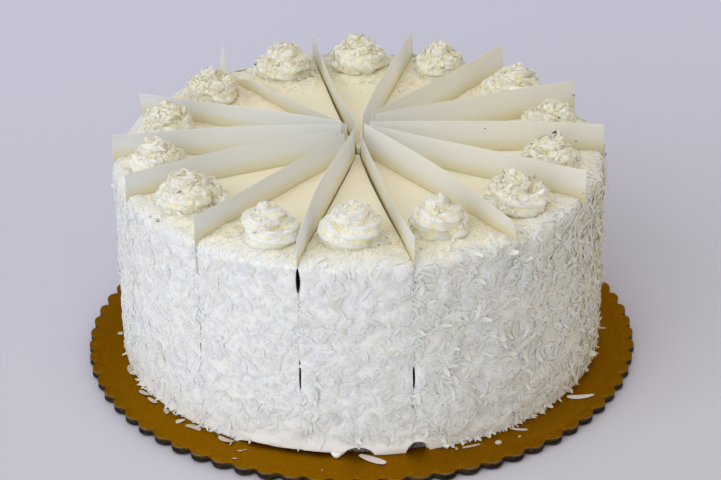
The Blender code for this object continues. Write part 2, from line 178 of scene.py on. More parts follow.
# Flakes fallen on the board: distance from the axis, azimuth, heading, length and width
FALLEN = (
    (136.8, -178.8, 10, 3.2, 2.6),
    (135.5, -161.4, -77, 9.0, 2.6),
    (137.0, -149.8, -37, 7.5, 3.0),
    (137.0, -145.9, -46, 7.0, 2.6),
    (137.0, -140.2, -67, 5.5, 2.4),
    (138.0, -134.8, 29, 5.5, 2.6),
    (137.5, -130.7, -30, 9.5, 3.0),
    (138.0, -121.7, -37, 10.2, 3.2),
    (139.6, -119.8, 75, 3.5, 0.8),
    (138.5, -87.7, -30, 15.5, 5.2),
    (142.5, -33.5, 7, 15.0, 3.6),
    (138.5, -53.1, -7, 9.6, 2.0),
    (139.0, -65.7, 24, 10.3, 1.4),
    (138.0, -69.0, 95, 3.0, 1.4),
    (142.6, -59.9, 40, 3.6, 3.0),
    (144.2, -54.8, 0, 1.6, 1.3),
    (143.1, -116.6, 0, 3.0, 1.0),
    (141.2, -115.8, 20, 1.6, 0.7),
    (151.0, -116.3, 0, 2.6, 1.0),
    (149.4, -98.1, 90, 1.4, 0.7),
)
# Spiky stretches of the foot: first and last azimuth, flakes in each
FRINGES = ((-72.0, -44.0, 75), (-160.0, -117.0, 75), (-44.0, 20.0, 45), (20.0, 150.0, 70), (150.0, 224.0, 6))


def pick(*pieces):
    """Selects these pieces alone, the last one active."""
    bpy.ops.object.select_all(action="DESELECT")
    for piece in pieces:
        piece.select_set(True)
        bpy.context.view_layer.objects.active = piece


def edit(piece):
    pick(piece)
    bpy.ops.object.mode_set(mode="EDIT")
    bpy.ops.mesh.select_mode(type="VERT")
    bpy.ops.mesh.select_all(action="DESELECT")


def choose(piece, kind, test):
    """In edit mode, selects the vertices, edges or faces that pass the test, and nothing else."""
    bpy.ops.mesh.select_mode(type={"verts": "VERT", "edges": "EDGE", "faces": "FACE"}[kind])
    bpy.ops.mesh.select_all(action="DESELECT")
    mesh = bmesh.from_edit_mesh(piece.data)
    for element in getattr(mesh, kind):
        if test(element):
            element.select_set(True)
    mesh.select_flush_mode()
    bmesh.update_edit_mesh(piece.data)


def leave_edit():
    bpy.ops.object.mode_set(mode="OBJECT")


def use(piece, kind, **settings):
    """Gives the piece a modifier with these settings and applies it."""
    modifier = piece.modifiers.new(kind.lower(), kind)
    for name, value in settings.items():
        setattr(modifier, name, value)
    pick(piece)
    bpy.ops.object.modifier_apply(modifier=modifier.name)


def corners_of(piece):
    """The piece's vertices as an array of points."""
    points = np.empty(len(piece.data.vertices) * 3)
    piece.data.vertices.foreach_get("co", points)
    return points.reshape(-1, 3)


def move_corners(piece, points):
    piece.data.vertices.foreach_set("co", np.asarray(points, float).ravel())
    piece.data.update()


def copy_of(piece, name):
    copied = piece.copy()
    copied.data = piece.data.copy()
    copied.name = name
    bpy.context.scene.collection.objects.link(copied)
    return copied


def dress(piece, name, material, slot, *nodes):
    """Names a finished piece, gives it its finish, and has it ride with the cake in place of these nodes."""
    pick(piece)
    bpy.ops.object.transform_apply(location=True, rotation=True, scale=True)
    piece.name = name
    piece.data.materials.clear()
    piece.data.materials.append(material)
    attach(piece, "root")
    if nodes:
        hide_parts(*nodes)
    return piece


def polar(radius, azimuth, height):
    """A point at this distance and azimuth in degrees from the cake's axis."""
    turned = math.radians(azimuth)
    return CAKE_CENTRE + Vector((radius * math.cos(turned), radius * math.sin(turned), height))


def polar_of(points):
    """The distance from the cake's axis and the azimuth in degrees of an array of points."""
    from_axis = points[..., :2] - np.array(CAKE_CENTRE[:2])
    azimuth = np.degrees(np.arctan2(from_axis[..., 1], from_axis[..., 0]))
    return np.hypot(from_axis[..., 0], from_axis[..., 1]), azimuth


def ramp(value, low, high):
    """0 below low, 1 above high, and smooth between. High may be the smaller."""
    share = np.clip((value - low) / (high - low), 0.0, 1.0)
    return share * share * (3 - 2 * share)


def blend(values, share):
    """The smooth curve through three values at shares 0, 0.5 and 1."""
    first, middle, last = values
    return first + (last - first) * share + 4 * (middle - (first + last) / 2) * share * (1 - share)


def paper_azimuth(index):
    return FIRST_CUT - index * 360 / SLICES + PAPERS[index % SLICES][0]


def slice_span(index):
    """The azimuths where a slice starts and ends, the smaller first."""
    return paper_azimuth(index + 1), paper_azimuth(index)


def slice_walls(index):
    """The directions into a slice from its two cut faces."""
    turned = [math.radians(azimuth) for azimuth in slice_span(index)]
    return [Vector((-math.sin(angle), math.cos(angle), 0)) * side for angle, side in zip(turned, (1, -1))]


def new_group(name, inputs, outputs):
    """An empty node group with these sockets, and its input and output nodes."""
    group = bpy.data.node_groups.new(name, "ShaderNodeTree")
    for label, kind, value in inputs:
        socket = group.interface.new_socket(label, in_out="INPUT", socket_type=kind)
        socket.default_value = value
    for label, kind in outputs:
        group.interface.new_socket(label, in_out="OUTPUT", socket_type=kind)
    return group, group.nodes.new("NodeGroupInput"), group.nodes.new("NodeGroupOutput")


def mottle_group():
    """Two colours mixed in soft cloudy patches over the piece."""
    group, given, out = new_group(
        "mottle",
        (("Light", "NodeSocketColor", (1, 1, 1, 1)), ("Deep", "NodeSocketColor", (0.5, 0.5, 0.5, 1)),
         ("Patches", "NodeSocketFloat", 60.0), ("Cover", "NodeSocketFloat", 0.5)),
        (("Color", "NodeSocketColor"), ("Mask", "NodeSocketFloat")))
    nodes, links = group.nodes, group.links
    place = nodes.new("ShaderNodeTexCoord")
    noise = nodes.new("ShaderNodeTexNoise")
    noise.inputs["Detail"].default_value = 5.0
    stretch = nodes.new("ShaderNodeMapRange")
    stretch.inputs["From Min"].default_value = 0.3
    stretch.inputs["From Max"].default_value = 0.7
    scaled = nodes.new("ShaderNodeMath")
    scaled.operation = "MULTIPLY"
    mix = nodes.new("ShaderNodeMix")
    mix.data_type = "RGBA"
    links.new(place.outputs["Object"], noise.inputs["Vector"])
    links.new(given.outputs["Patches"], noise.inputs["Scale"])
    links.new(noise.outputs["Fac"], stretch.inputs["Value"])
    links.new(stretch.outputs["Result"], scaled.inputs[0])
    links.new(given.outputs["Cover"], scaled.inputs[1])
    links.new(scaled.outputs["Value"], mix.inputs["Factor"])
    links.new(given.outputs["Light"], mix.inputs["A"])
    links.new(given.outputs["Deep"], mix.inputs["B"])
    links.new(mix.outputs["Result"], out.inputs["Color"])
    links.new(scaled.outputs["Value"], out.inputs["Mask"])
    return group


def grain_group():
    """A fine bumpy grain, as a normal."""
    group, given, out = new_group(
        "grain",
        (("Size", "NodeSocketFloat", 800.0), ("Strength", "NodeSocketFloat", 0.3),
         ("Height", "NodeSocketFloat", 0.0002)),
        (("Normal", "NodeSocketVector"),))
    nodes, links = group.nodes, group.links
    place = nodes.new("ShaderNodeTexCoord")
    noise = nodes.new("ShaderNodeTexNoise")
    noise.inputs["Detail"].default_value = 4.0
    bump = nodes.new("ShaderNodeBump")
    links.new(place.outputs["Object"], noise.inputs["Vector"])
    links.new(given.outputs["Size"], noise.inputs["Scale"])
    links.new(noise.outputs["Fac"], bump.inputs["Height"])
    links.new(given.outputs["Strength"], bump.inputs["Strength"])
    links.new(given.outputs["Height"], bump.inputs["Distance"])
    links.new(bump.outputs["Normal"], out.inputs["Normal"])
    return group


def new_material(name, **values):
    """A Principled material with these values on its sockets, and its node tree and shader."""
    material = bpy.data.materials.new(name)
    material.use_nodes = True
    shader = material.node_tree.nodes["Principled BSDF"]
    for label, value in values.items():
        shader.inputs[label.replace("_", " ")].default_value = value
    return material, material.node_tree, shader


def add_group(tree, group, **values):
    node = tree.nodes.new("ShaderNodeGroup")
    node.node_tree = group
    for label, value in values.items():
        node.inputs[label].default_value = value
    return node


def mix_steps(tree, colour, steps):
    """The colour, mixed into a next one as a value runs from low to high, once for each step."""
    for value, low, high, next_colour in steps:
        share = tree.nodes.new("ShaderNodeMapRange")
        share.inputs["From Min"].default_value = low
        share.inputs["From Max"].default_value = high
        mix = tree.nodes.new("ShaderNodeMix")
        mix.data_type = "RGBA"
        tree.links.new(value, share.inputs["Value"])
        tree.links.new(share.outputs["Result"], mix.inputs["Factor"])
        tree.links.new(colour, mix.inputs["A"])
        if isinstance(next_colour, tuple):
            mix.inputs["B"].default_value = next_colour
        else:
            tree.links.new(next_colour, mix.inputs["B"])
        colour = mix.outputs["Result"]
    return colour


def cream_material(mottle, grain):
    """Frosting: ivory on top, yellower where it is heaped with coconut; yellower in the cuts, partly their own
    colour and partly painted warm shade, with painted dark shade deeper in; white on the side, partly the coconut
    mixed into it and partly painted cool light, with painted warm shade over its right half.
    """
    material, tree, shader = new_material(
        "ivory_cream", Roughness=0.45, Subsurface_Weight=0.5, Subsurface_Radius=(2.6, 2.1, 1.4),
        Subsurface_Scale=0.001, Specular_IOR_Level=0.3)
    nodes, links = tree.nodes, tree.links
    ivory = add_group(tree, mottle, Light=(0.88, 0.82, 0.665, 1), Deep=(0.855, 0.775, 0.575, 1), Patches=45.0,
                      Cover=0.8)
    heaped = add_group(tree, mottle, Light=(0.925, 0.875, 0.72, 1), Deep=(0.91, 0.81, 0.54, 1), Patches=150.0,
                       Cover=1.0)
    white = add_group(tree, mottle, Light=(0.86, 0.87, 0.88, 1), Deep=(0.85, 0.845, 0.79, 1), Patches=160.0,
                      Cover=0.8)
    place = nodes.new("ShaderNodeTexCoord")
    from_axis = nodes.new("ShaderNodeMapping")
    from_axis.inputs["Location"].default_value = -CAKE_CENTRE
    from_axis.inputs["Scale"].default_value = (1, 1, 0)
    radius = nodes.new("ShaderNodeVectorMath")
    radius.operation = "LENGTH"
    split = nodes.new("ShaderNodeSeparateXYZ")
    slit = nodes.new("ShaderNodeAttribute")
    slit.attribute_name = "slit"
    relief = add_group(tree, grain, Size=420.0, Strength=0.25, Height=0.0004)
    links.new(place.outputs["Object"], from_axis.inputs["Vector"])
    links.new(from_axis.outputs["Vector"], radius.inputs["Vector"])
    links.new(place.outputs["Object"], split.inputs["Vector"])
    rim = CREAM_RADIUS - SHOULDER
    # Painted warm shade: the side's white turns darker and yellower across its right half.
    side = mix_steps(tree, white.outputs["Color"], (
        (split.outputs["X"], 0.5 * CREAM_RADIUS, CREAM_RADIUS, (0.78, 0.74, 0.55, 1)),))
    colour = mix_steps(tree, ivory.outputs["Color"], (
        (radius.outputs["Value"], HEAP_START, HEAP_START + 22 * MM, heaped.outputs["Color"]),
        # Painted shade in the cuts: yellower just below the top, partly the cut's own colour, then dark olive
        # further down in the slots and the tip hole.
        (split.outputs["Z"], CAKE_TOP - 0.8 * MM, CAKE_TOP - 2.0 * MM, (0.84, 0.74, 0.36, 1)),
        (split.outputs["Z"], CAKE_TOP - 3.0 * MM, CAKE_TOP - 7.0 * MM, (0.32, 0.235, 0.06, 1)),
        (radius.outputs["Value"], rim - 3.5 * MM, rim + 0.8 * SHOULDER, side),
        # Painted shade: the slits' walls are painted near black.
        (slit.outputs["Fac"], 0.0, 1.0, (0.03, 0.014, 0.008, 1)),
    ))
    links.new(colour, shader.inputs["Base Color"])
    links.new(relief.outputs["Normal"], shader.inputs["Normal"])
    return material


def piped_material(mottle, grain):
    """Whipped cream, white on its crests and ivory in its grooves, where the ivory is partly the coconut lodged
    there and partly painted warm light that the cream bounces into its creases.
    """
    material, tree, shader = new_material(
        "piped_cream", Roughness=0.45, Subsurface_Weight=1.0, Subsurface_Radius=(6.5, 5.8, 4.6),
        Subsurface_Scale=0.001, Specular_IOR_Level=0.25)
    nodes, links = tree.nodes, tree.links
    crest = add_group(tree, mottle, Light=(0.76, 0.78, 0.795, 1), Deep=(0.785, 0.775, 0.735, 1), Patches=85.0,
                      Cover=0.9)
    mass = add_group(tree, mottle, Light=(0.955, 0.925, 0.80, 1), Deep=(0.955, 0.855, 0.56, 1), Patches=190.0,
                     Cover=1.0)
    hollow = nodes.new("ShaderNodeAttribute")
    hollow.attribute_name = "hollow"
    mix = nodes.new("ShaderNodeMix")
    mix.data_type = "RGBA"
    relief = add_group(tree, grain, Size=500.0, Strength=0.25, Height=0.0003)
    # Painted warm bounce light: the grooves take the yellower colour by their hollow value, partly for the coconut
    # in them.
    links.new(hollow.outputs["Fac"], mix.inputs["Factor"])
    links.new(crest.outputs["Color"], mix.inputs["A"])
    links.new(mass.outputs["Color"], mix.inputs["B"])
    links.new(mix.outputs["Result"], shader.inputs["Base Color"])
    links.new(relief.outputs["Normal"], shader.inputs["Normal"])
    return material


def coconut_material(name, white, straw, shine_through, grain):
    """Shredded coconut, each flake in its own tone between white and straw, that lets some light through."""
    material, tree, shader = new_material(name, Roughness=0.5, Specular_IOR_Level=0.3)
    nodes, links = tree.nodes, tree.links
    tone = nodes.new("ShaderNodeAttribute")
    tone.attribute_name = "tone"
    colours = nodes.new("ShaderNodeValToRGB")
    colours.color_ramp.elements[0].color = (*white, 1)
    colours.color_ramp.elements[1].color = (*straw, 1)
    relief = add_group(tree, grain, Size=900.0, Strength=0.2, Height=0.0002)
    through = nodes.new("ShaderNodeBsdfTranslucent")
    both = nodes.new("ShaderNodeMixShader")
    both.inputs["Fac"].default_value = shine_through
    links.new(tone.outputs["Fac"], colours.inputs["Fac"])
    links.new(colours.outputs["Color"], shader.inputs["Base Color"])
    links.new(colours.outputs["Color"], through.inputs["Color"])
    links.new(relief.outputs["Normal"], shader.inputs["Normal"])
    links.new(shader.outputs["BSDF"], both.inputs[1])
    links.new(through.outputs["BSDF"], both.inputs[2])
    links.new(both.outputs["Shader"], nodes["Material Output"].inputs["Surface"])
    return material


def parchment_material(mottle):
    """Waxed paper that lets light through, with a bluish tint that is painted cool light, warmer towards the right
    as painted warm light, and straw-coloured beside the cream, partly from butter it has soaked up and partly as
    painted warm shade from the cream.
    """
    material, tree, shader = new_material("waxed_parchment", Roughness=0.5, Specular_IOR_Level=0.3)
    nodes, links = tree.nodes, tree.links
    place = nodes.new("ShaderNodeTexCoord")
    split = nodes.new("ShaderNodeSeparateXYZ")
    links.new(place.outputs["Object"], split.inputs["Vector"])
    # Painted cool light: the dry paper's bluish tint.
    dry = add_group(tree, mottle, Light=(0.93, 0.945, 0.97, 1), Deep=(0.93, 0.925, 0.91, 1), Patches=30.0,
                    Cover=0.7)
    # Painted warm light: the paper turns warmer towards the right.
    warmed = mix_steps(tree, dry.outputs["Color"], (
        (split.outputs["X"], -0.3 * CAKE_RADIUS, 0.8 * CAKE_RADIUS, (0.965, 0.955, 0.92, 1)),))
    # Straw up to 7.5 mm above the cake, partly soaked-up butter and partly painted warm shade from the cream; paler
    # below the top.
    steps = (
        (CAKE_TOP + 7.5 * MM, CAKE_TOP - 0.5 * MM, (0.90, 0.85, 0.64, 1)),
        (CAKE_TOP - 1 * MM, CAKE_TOP - 4 * MM, (0.86, 0.86, 0.82, 1)),
    )
    colour = mix_steps(tree, warmed, [(split.outputs["Z"], *step) for step in steps])
    through = nodes.new("ShaderNodeBsdfTranslucent")
    both = nodes.new("ShaderNodeMixShader")
    both.inputs["Fac"].default_value = 0.6
    links.new(colour, shader.inputs["Base Color"])
    links.new(colour, through.inputs["Color"])
    links.new(shader.outputs["BSDF"], both.inputs[1])
    links.new(through.outputs["BSDF"], both.inputs[2])
    links.new(both.outputs["Shader"], nodes["Material Output"].inputs["Surface"])
    return material


def foil_material(mottle, grain):
    material, tree, shader = new_material("gold_foil", Roughness=0.5, Metallic=1.0,
                                          Specular_Tint=(1.0, 0.5, 0.03, 1))
    colour = add_group(tree, mottle, Light=(0.39, 0.184, 0.0055, 1), Deep=(0.25, 0.114, 0.0023, 1),
                       Patches=1300.0, Cover=1.0)
    relief = add_group(tree, grain, Size=1500.0, Strength=0.35, Height=0.0002)
    tree.links.new(colour.outputs["Color"], shader.inputs["Base Color"])
    tree.links.new(relief.outputs["Normal"], shader.inputs["Normal"])
    return material


def card_material(name, light, deep, mottle, grain):
    """The board's cut edge, glossy where the foil's lacquer has run over it, with a lighter line along its top that
    is a painted highlight for the glints there.
    """
    material, tree, shader = new_material(name, Roughness=0.42, Specular_IOR_Level=0.16)
    colour = add_group(tree, mottle, Light=light, Deep=deep, Patches=330.0, Cover=1.0)
    relief = add_group(tree, grain, Size=420.0, Strength=0.8, Height=0.0012)
    place = tree.nodes.new("ShaderNodeTexCoord")
    split = tree.nodes.new("ShaderNodeSeparateXYZ")
    tree.links.new(place.outputs["Object"], split.inputs["Vector"])
    # Painted highlight: a lighter line along the top of the card's edge.
    glint_line = mix_steps(tree, colour.outputs["Color"], (
        (split.outputs["Z"], BOARD_TOP - 1.0 * MM, BOARD_TOP - 0.5 * MM, (0.30, 0.225, 0.14, 1)),))
    tree.links.new(glint_line, shader.inputs["Base Color"])
    tree.links.new(relief.outputs["Normal"], shader.inputs["Normal"])
    return material


def speck_material(name, colour):
    return new_material(name, Roughness=0.6, Base_Color=colour)[0]


def dark_material(mottle, grain):
    material, tree, shader = new_material("dark_glossy_base", Roughness=0.22, Coat_Weight=0.3)
    # Painted reflections: the bluish-grey blotches in the near-black stand in for the backdrop mirrored in the
    # gloss.
    colour = add_group(tree, mottle, Light=(0.004, 0.004, 0.006, 1), Deep=(0.30, 0.32, 0.38, 1),
                       Patches=650.0, Cover=1.0)
    relief = add_group(tree, grain, Size=600.0, Strength=0.8, Height=0.0006)
    tree.links.new(colour.outputs["Color"], shader.inputs["Base Color"])
    tree.links.new(relief.outputs["Normal"], shader.inputs["Normal"])
    return material


def frosted_drum():
    """The whole cake before it is cut: a drum with a rounded rim, a recess for its base and uneven sides."""
    foot = BOARD_TOP + GAP
    bpy.ops.mesh.primitive_cylinder_add(
        vertices=DRUM_SIDES, radius=CREAM_RADIUS, depth=CAKE_TOP - foot, end_fill_type="NGON",
        location=CAKE_CENTRE + Vector((0, 0, (CAKE_TOP + foot) / 2)))
    drum = bpy.context.object
    bpy.ops.object.transform_apply(location=True)
    edit(drum)
    choose(drum, "faces", lambda face: face.normal.z < -0.9)
    bpy.ops.mesh.inset(thickness=CREAM_RADIUS - SKIRT_RADIUS)
    bpy.ops.mesh.extrude_region_move(TRANSFORM_OT_translate={"value": (0, 0, BASE_TOP + GAP - foot)})
    choose(drum, "edges", lambda edge: all(vert.co.z > CAKE_TOP - 0.1 * MM for vert in edge.verts))
    bpy.ops.mesh.bevel(offset=SHOULDER, segments=5, profile=0.5, affect="EDGES")
    choose(drum, "edges", lambda edge: abs(edge.verts[0].co.z - edge.verts[1].co.z) > CAKE_TOP / 2)
    bpy.ops.mesh.subdivide(number_cuts=SIDE_RINGS)
    choose(drum, "faces", lambda face: face.normal.z > 0.9 and len(face.verts) > 4)
    for step in TOP_STEPS:
        bpy.ops.mesh.inset(thickness=step)
    leave_edit()
    shape_foot(drum)
    raise_mounds(drum)
    lump(drum)
    open_chips(drum)
    return drum


def shape_foot(drum):
    """The smooth lip of cream along the front of the foot, lifted off the board in places."""
    points = corners_of(drum)
    radius, azimuth = polar_of(points)
    front = ramp(azimuth, -122, -114) * ramp(azimuth, -70, -78)
    outside = radius > SKIRT_RADIUS + 1 * MM
    wave = np.sin(np.radians(azimuth) * 31) * 0.5 + np.sin(np.radians(azimuth) * 47 + 1) * 0.5
    bead = 1.0 * MM * np.exp(-((points[:, 2] - BOARD_TOP - 3.0 * MM) / (3.2 * MM)) ** 2)
    swell = 1 + outside * front * bead * (1 + 0.3 * wave) / CREAM_RADIUS
    middle = np.array(CAKE_CENTRE[:2])
    points[:, :2] = middle + (points[:, :2] - middle) * swell[:, None]
    raised = ramp(azimuth, -120, -115) * ramp(azimuth, -93, -97) * (points[:, 2] < BOARD_TOP + 1 * MM)
    points[:, 2] += raised * (1.5 + 0.5 * wave) * MM
    move_corners(drum, points)


def rosette_place(index):
    distance, turn, _, _ = ROSETTES[index]
    return polar(distance * MM, sum(slice_span(index)) / 2 + turn, CAKE_TOP)


def raise_mounds(drum):
    """Heaps cream and coconut up round each rosette's foot and over each slice's outer part."""
    points = corners_of(drum)
    radius, azimuth = polar_of(points)
    top = ramp(points[:, 2], CAKE_TOP - SHOULDER, CAKE_TOP - 0.3 * MM)
    rim = ramp(radius, CREAM_RADIUS, CREAM_RADIUS - 10 * MM)
    for middle, half_width, share in RIM_HEAPS:
        away = (azimuth - middle + 180) % 360 - 180
        rim = np.maximum(rim, share * ramp(np.abs(away), half_width, 0.4 * half_width))
    heap = np.zeros(len(points))
    for index, (_, _, coil, _) in enumerate(ROSETTES):
        first, last = slice_span(index)
        across = (azimuth - first) % 360 / (last - first)
        crown = np.clip(1 - np.abs(2 * across - 1) ** 3, 0, 1) * (across < 1)
        away = np.hypot(*(points[:, :2] - np.array(rosette_place(index)[:2])).T)
        mound = MOUND * ramp(away, 1.8 * coil * MM, 0.8 * coil * MM)
        heap += crown * np.maximum(mound, HEAP * ramp(radius, HEAP_START, HEAP_START + 22 * MM))
    points[:, 2] += top * rim * heap
    move_corners(drum, points)


def lump(drum):
    """Pushes the side in and out as a spatula and the coconut leave it, and the top's outer part less."""
    points = corners_of(drum)
    radius, azimuth = polar_of(points)
    side = ramp(radius, CREAM_RADIUS - SHOULDER, CREAM_RADIUS - 1 * MM) * (0.6 + 0.4 * wildness(azimuth))
    skirt = ramp(points[:, 2], BOARD_TOP + 5 * MM, BOARD_TOP + 10 * MM)
    top = (0.08 + 0.8 * ramp(radius, HEAP_START, HEAP_START + 22 * MM)) * (points[:, 2] > CAKE_TOP - 1 * MM)
    group = drum.vertex_groups.new(name="lumps")
    for number, weight in enumerate(np.maximum(side * skirt, top * ramp(radius, 10 * MM, 30 * MM))):
        group.add([number], float(weight), "REPLACE")
    for name, size, strength in LUMPS:
        texture = bpy.data.textures.new(name, "CLOUDS")
        texture.noise_scale = size
        use(drum, "DISPLACE", texture=texture, texture_coords="LOCAL", strength=strength, mid_level=0.5,
            vertex_group="lumps")


def open_chips(drum):
    """Cuts the chips at the foot and the small hole where the slices' tips meet."""
    cutters = []
    for azimuth, half_width, half_depth, height in CHIPS:
        bpy.ops.mesh.primitive_ico_sphere_add(
            subdivisions=4, radius=1.0, location=polar(CAKE_RADIUS, azimuth, BOARD_TOP),
            rotation=(0, 0, math.radians(azimuth)), scale=(half_depth, half_width, height))
        cutters.append(bpy.context.object)
    for sheet, height, half_height, half_width in SLITS:
        azimuth = paper_azimuth(sheet - 1)
        bpy.ops.mesh.primitive_ico_sphere_add(
            subdivisions=4, radius=1.0, location=polar(CAKE_RADIUS, azimuth, height),
            rotation=(0, 0, math.radians(azimuth)), scale=(SLIT_DEPTH, half_width, half_height))
        cutters.append(bpy.context.object)
    bpy.ops.mesh.primitive_cylinder_add(vertices=48, radius=TIP_RADIUS, depth=2 * CAKE_TOP,
                                        location=CAKE_CENTRE + Vector((0, 0, CAKE_TOP)))
    cutters.append(bpy.context.object)
    for cutter in cutters:
        use(drum, "BOOLEAN", operation="DIFFERENCE", object=cutter, solver="EXACT")
        bpy.data.objects.remove(cutter, do_unlink=True)


def ease_cut_edges(piece, index):
    """Rounds the side back at the cuts, closes it over the sheets' edges, and opens the top where shown."""
    points = corners_of(piece)
    middle = np.array(CAKE_CENTRE)
    radius, _ = polar_of(points)
    height = points[:, 2]
    upper = ramp(height, CAKE_TOP - 60 * MM, CAKE_TOP)
    uneven = 1 + 0.35 * np.sin(height / (9 * MM) + 2.1 * index) + 0.25 * np.sin(height / (3.7 * MM) + index)
    side = ramp(radius, CREAM_RADIUS - 1.2 * SHOULDER, CREAM_RADIUS - 1 * MM)
    for inward, opened in zip(slice_walls(index), OPENED.get(index + 1, (0.0, 0.0))):
        depth = (points - middle) @ np.array(inward) - CUT_HALF
        near = np.clip(1 - depth / (CORNER_REACH * uneven), 0, 1)
        drop = CORNER_DROP * uneven * near ** 2 * side
        share = np.clip(radius / (CAKE_RADIUS - SHOULDER), 0, 1)
        back = opened * upper * np.sin(np.pi * share ** 0.7) * np.clip(1 - depth / OPENED_REACH, 0, 1)
        back -= (CUT_HALF - 0.02 * MM) * (depth < 0.1 * MM) * side * ramp(height, SHEETS_SHOW, SHEETS_SHOW - 8 * MM)
        points[:, :2] = middle[:2] + (points[:, :2] - middle[:2]) * (1 - drop / radius)[:, None]
        points += back[:, None] * np.array(inward)
    move_corners(piece, points)


def mark_slit_shade(piece):
    """Gives each vertex a slit value, 1 on the walls of a slit, where the frosting paints the cut's shade near
    black.
    """
    points = corners_of(piece)
    radius, azimuth = polar_of(points)
    deep = np.zeros(len(points))
    for sheet, height, half_height, half_width in SLITS:
        aside = np.radians((azimuth - paper_azimuth(sheet - 1) + 180) % 360 - 180) * radius
        beside = (np.abs(aside) < half_width + 0.3 * MM) & (np.abs(points[:, 2] - height) < 1.05 * half_height)
        # Painted shade: this value darkens the slit's walls in the frosting.
        deep = np.maximum(deep, beside * ramp(radius, CREAM_RADIUS - 0.3 * MM, CREAM_RADIUS - 2.0 * MM))
    piece.data.attributes.new("slit", "FLOAT", "POINT").data.foreach_set("value", deep)


def cut_slices(drum, material):
    """Copies of the drum, each cut with a knife on both sides of its slice and with its corners rounded."""
    slices = []
    for index in range(SLICES):
        piece = copy_of(drum, "slice")
        edit(piece)
        for inward in slice_walls(index):
            bpy.ops.mesh.select_all(action="SELECT")
            bpy.ops.mesh.bisect(plane_co=CAKE_CENTRE + inward * CUT_HALF, plane_no=inward, use_fill=True,
                                clear_inner=True)
        leave_edit()
        ease_cut_edges(piece, index)
        mark_slit_shade(piece)
        pick(piece)
        bpy.ops.object.shade_smooth_by_angle(angle=math.radians(35))
        dress(piece, f"cream_slice_{index + 1:02d}", material, "coconut_cream", f"slice_{index + 1:02d}")
        slices.append(piece)
    return slices


def add_sheets(material):
    """Parchment sheets, straight in their cuts and bowed and rippled where they rise over the cake."""
    sheets = []
    for index, (_, inner, *edges) in enumerate(PAPERS):
        heights, bows = edges[:3], (0.0, *edges[3:])
        azimuth = paper_azimuth(index)
        turned = math.radians(azimuth)
        aside = np.array((-math.sin(turned), math.cos(turned), 0.0))
        bpy.ops.mesh.primitive_grid_add(x_subdivisions=50, y_subdivisions=60, size=1.0)
        piece = bpy.context.object
        grid = corners_of(piece) + 0.5
        share, level = grid[:, 0], grid[:, 1]
        over = np.clip(level * 2 - 1, 0, 1)
        height = PAPER_FOOT + (CAKE_TOP - PAPER_FOOT) * np.clip(level * 2, 0, 1)
        outer = PAPER_RADIUS - PAPER_RECESS * ramp(height, SHEETS_SHOW, SHEETS_SHOW - 15 * MM)
        for sheet, middle, half_height, _ in SLITS:
            if sheet == index + 1:
                outer = outer - SHEET_BEHIND_SLIT * ramp(np.abs(height - middle), half_height, 0.7 * half_height)
        radius = inner * MM + (outer - inner * MM) * share
        height = height + blend(heights, share) * MM * over
        spiked, drop, dropped, spike, start = SPIKE
        if index + 1 == spiked:
            height -= drop * ramp(share, dropped - 0.16, dropped) * over
            height += spike * np.clip((share - start) / (1 - start), 0, 1) ** 2 * over
        ripple = 0.35 * MM * np.sin(share * 9 + index) * over
        bow = blend(bows, share) * MM * over ** 1.5 + ripple
        outward = np.array((math.cos(turned), math.sin(turned), 0.0))
        points = np.array(CAKE_CENTRE) + outward * radius[:, None] + aside * bow[:, None]
        points[:, 2] = height
        move_corners(piece, points)
        use(piece, "SOLIDIFY", thickness=PAPER_WALL, offset=0.0)
        pick(piece)
        bpy.ops.object.shade_smooth_by_angle(angle=math.radians(35))
        dress(piece, f"parchment_{index + 1:02d}", material, "parchment", f"paper_{index + 1:02d}")
        sheets.append(piece)
    return sheets


def add_specks(sheets, name, specks, material):
    """Tiny specks on the side of the sheets that faces the front."""
    dots = []
    for sheet, distance, height, radius in specks:
        aim = np.array([polar(distance * MM, paper_azimuth(sheet - 1), CAKE_TOP + height * MM)])
        place, _ = drape(aim, sheets[sheet - 1])
        place = Vector(place[0]) - Vector((0, PAPER_WALL / 2, 0))
        bpy.ops.mesh.primitive_ico_sphere_add(subdivisions=2, radius=radius * MM, location=place,
                                              scale=(1.0, 0.35, 0.8))
        dots.append(bpy.context.object)
    pick(*dots)
    bpy.ops.object.join()
    dress(bpy.context.object, name, material, "parchment")


def add_nibs(material):
    """Hooks and nibs of cream that the spatula left hanging over the foot's lip."""
    nibs = []
    for azimuth, along, out, thick in NIBS:
        bpy.ops.mesh.primitive_uv_sphere_add(segments=24, ring_count=16, radius=1.0)
        nib = bpy.context.object
        ball = corners_of(nib)
        share = (ball[:, 0] + 1) / 2
        turned = math.radians(azimuth)
        outward = np.array((math.cos(turned), math.sin(turned), 0.0))
        aside = np.array((-math.sin(turned), math.cos(turned), 0.0))
        start = np.array(polar(CREAM_RADIUS - 0.5 * MM, azimuth, BOARD_TOP + 2.6 * MM))
        swing = np.pi * 0.9 * share
        path = start + np.outer(np.sin(swing) ** 0.5 * out, outward) + np.outer((share - 0.5) * along, aside)
        path[:, 2] -= 1.2 * MM * np.sin(swing) ** 0.5
        fat = thick * (0.75 + 0.4 * np.sin(swing))
        points = path + outward * (ball[:, 1] * fat)[:, None]
        points[:, 2] += ball[:, 2] * fat
        points[:, 2] = np.maximum(points[:, 2], BOARD_TOP + 0.1 * MM)
        move_corners(nib, points)
        nibs.append(nib)
    pick(*nibs)
    bpy.ops.object.join()
    piece = bpy.context.object
    edit(piece)
    bpy.ops.mesh.select_all(action="SELECT")
    bpy.ops.mesh.normals_make_consistent(inside=False)
    leave_edit()
    pick(piece)
    bpy.ops.object.shade_smooth()
    dress(piece, "cream_nibs", material, "coconut_cream")


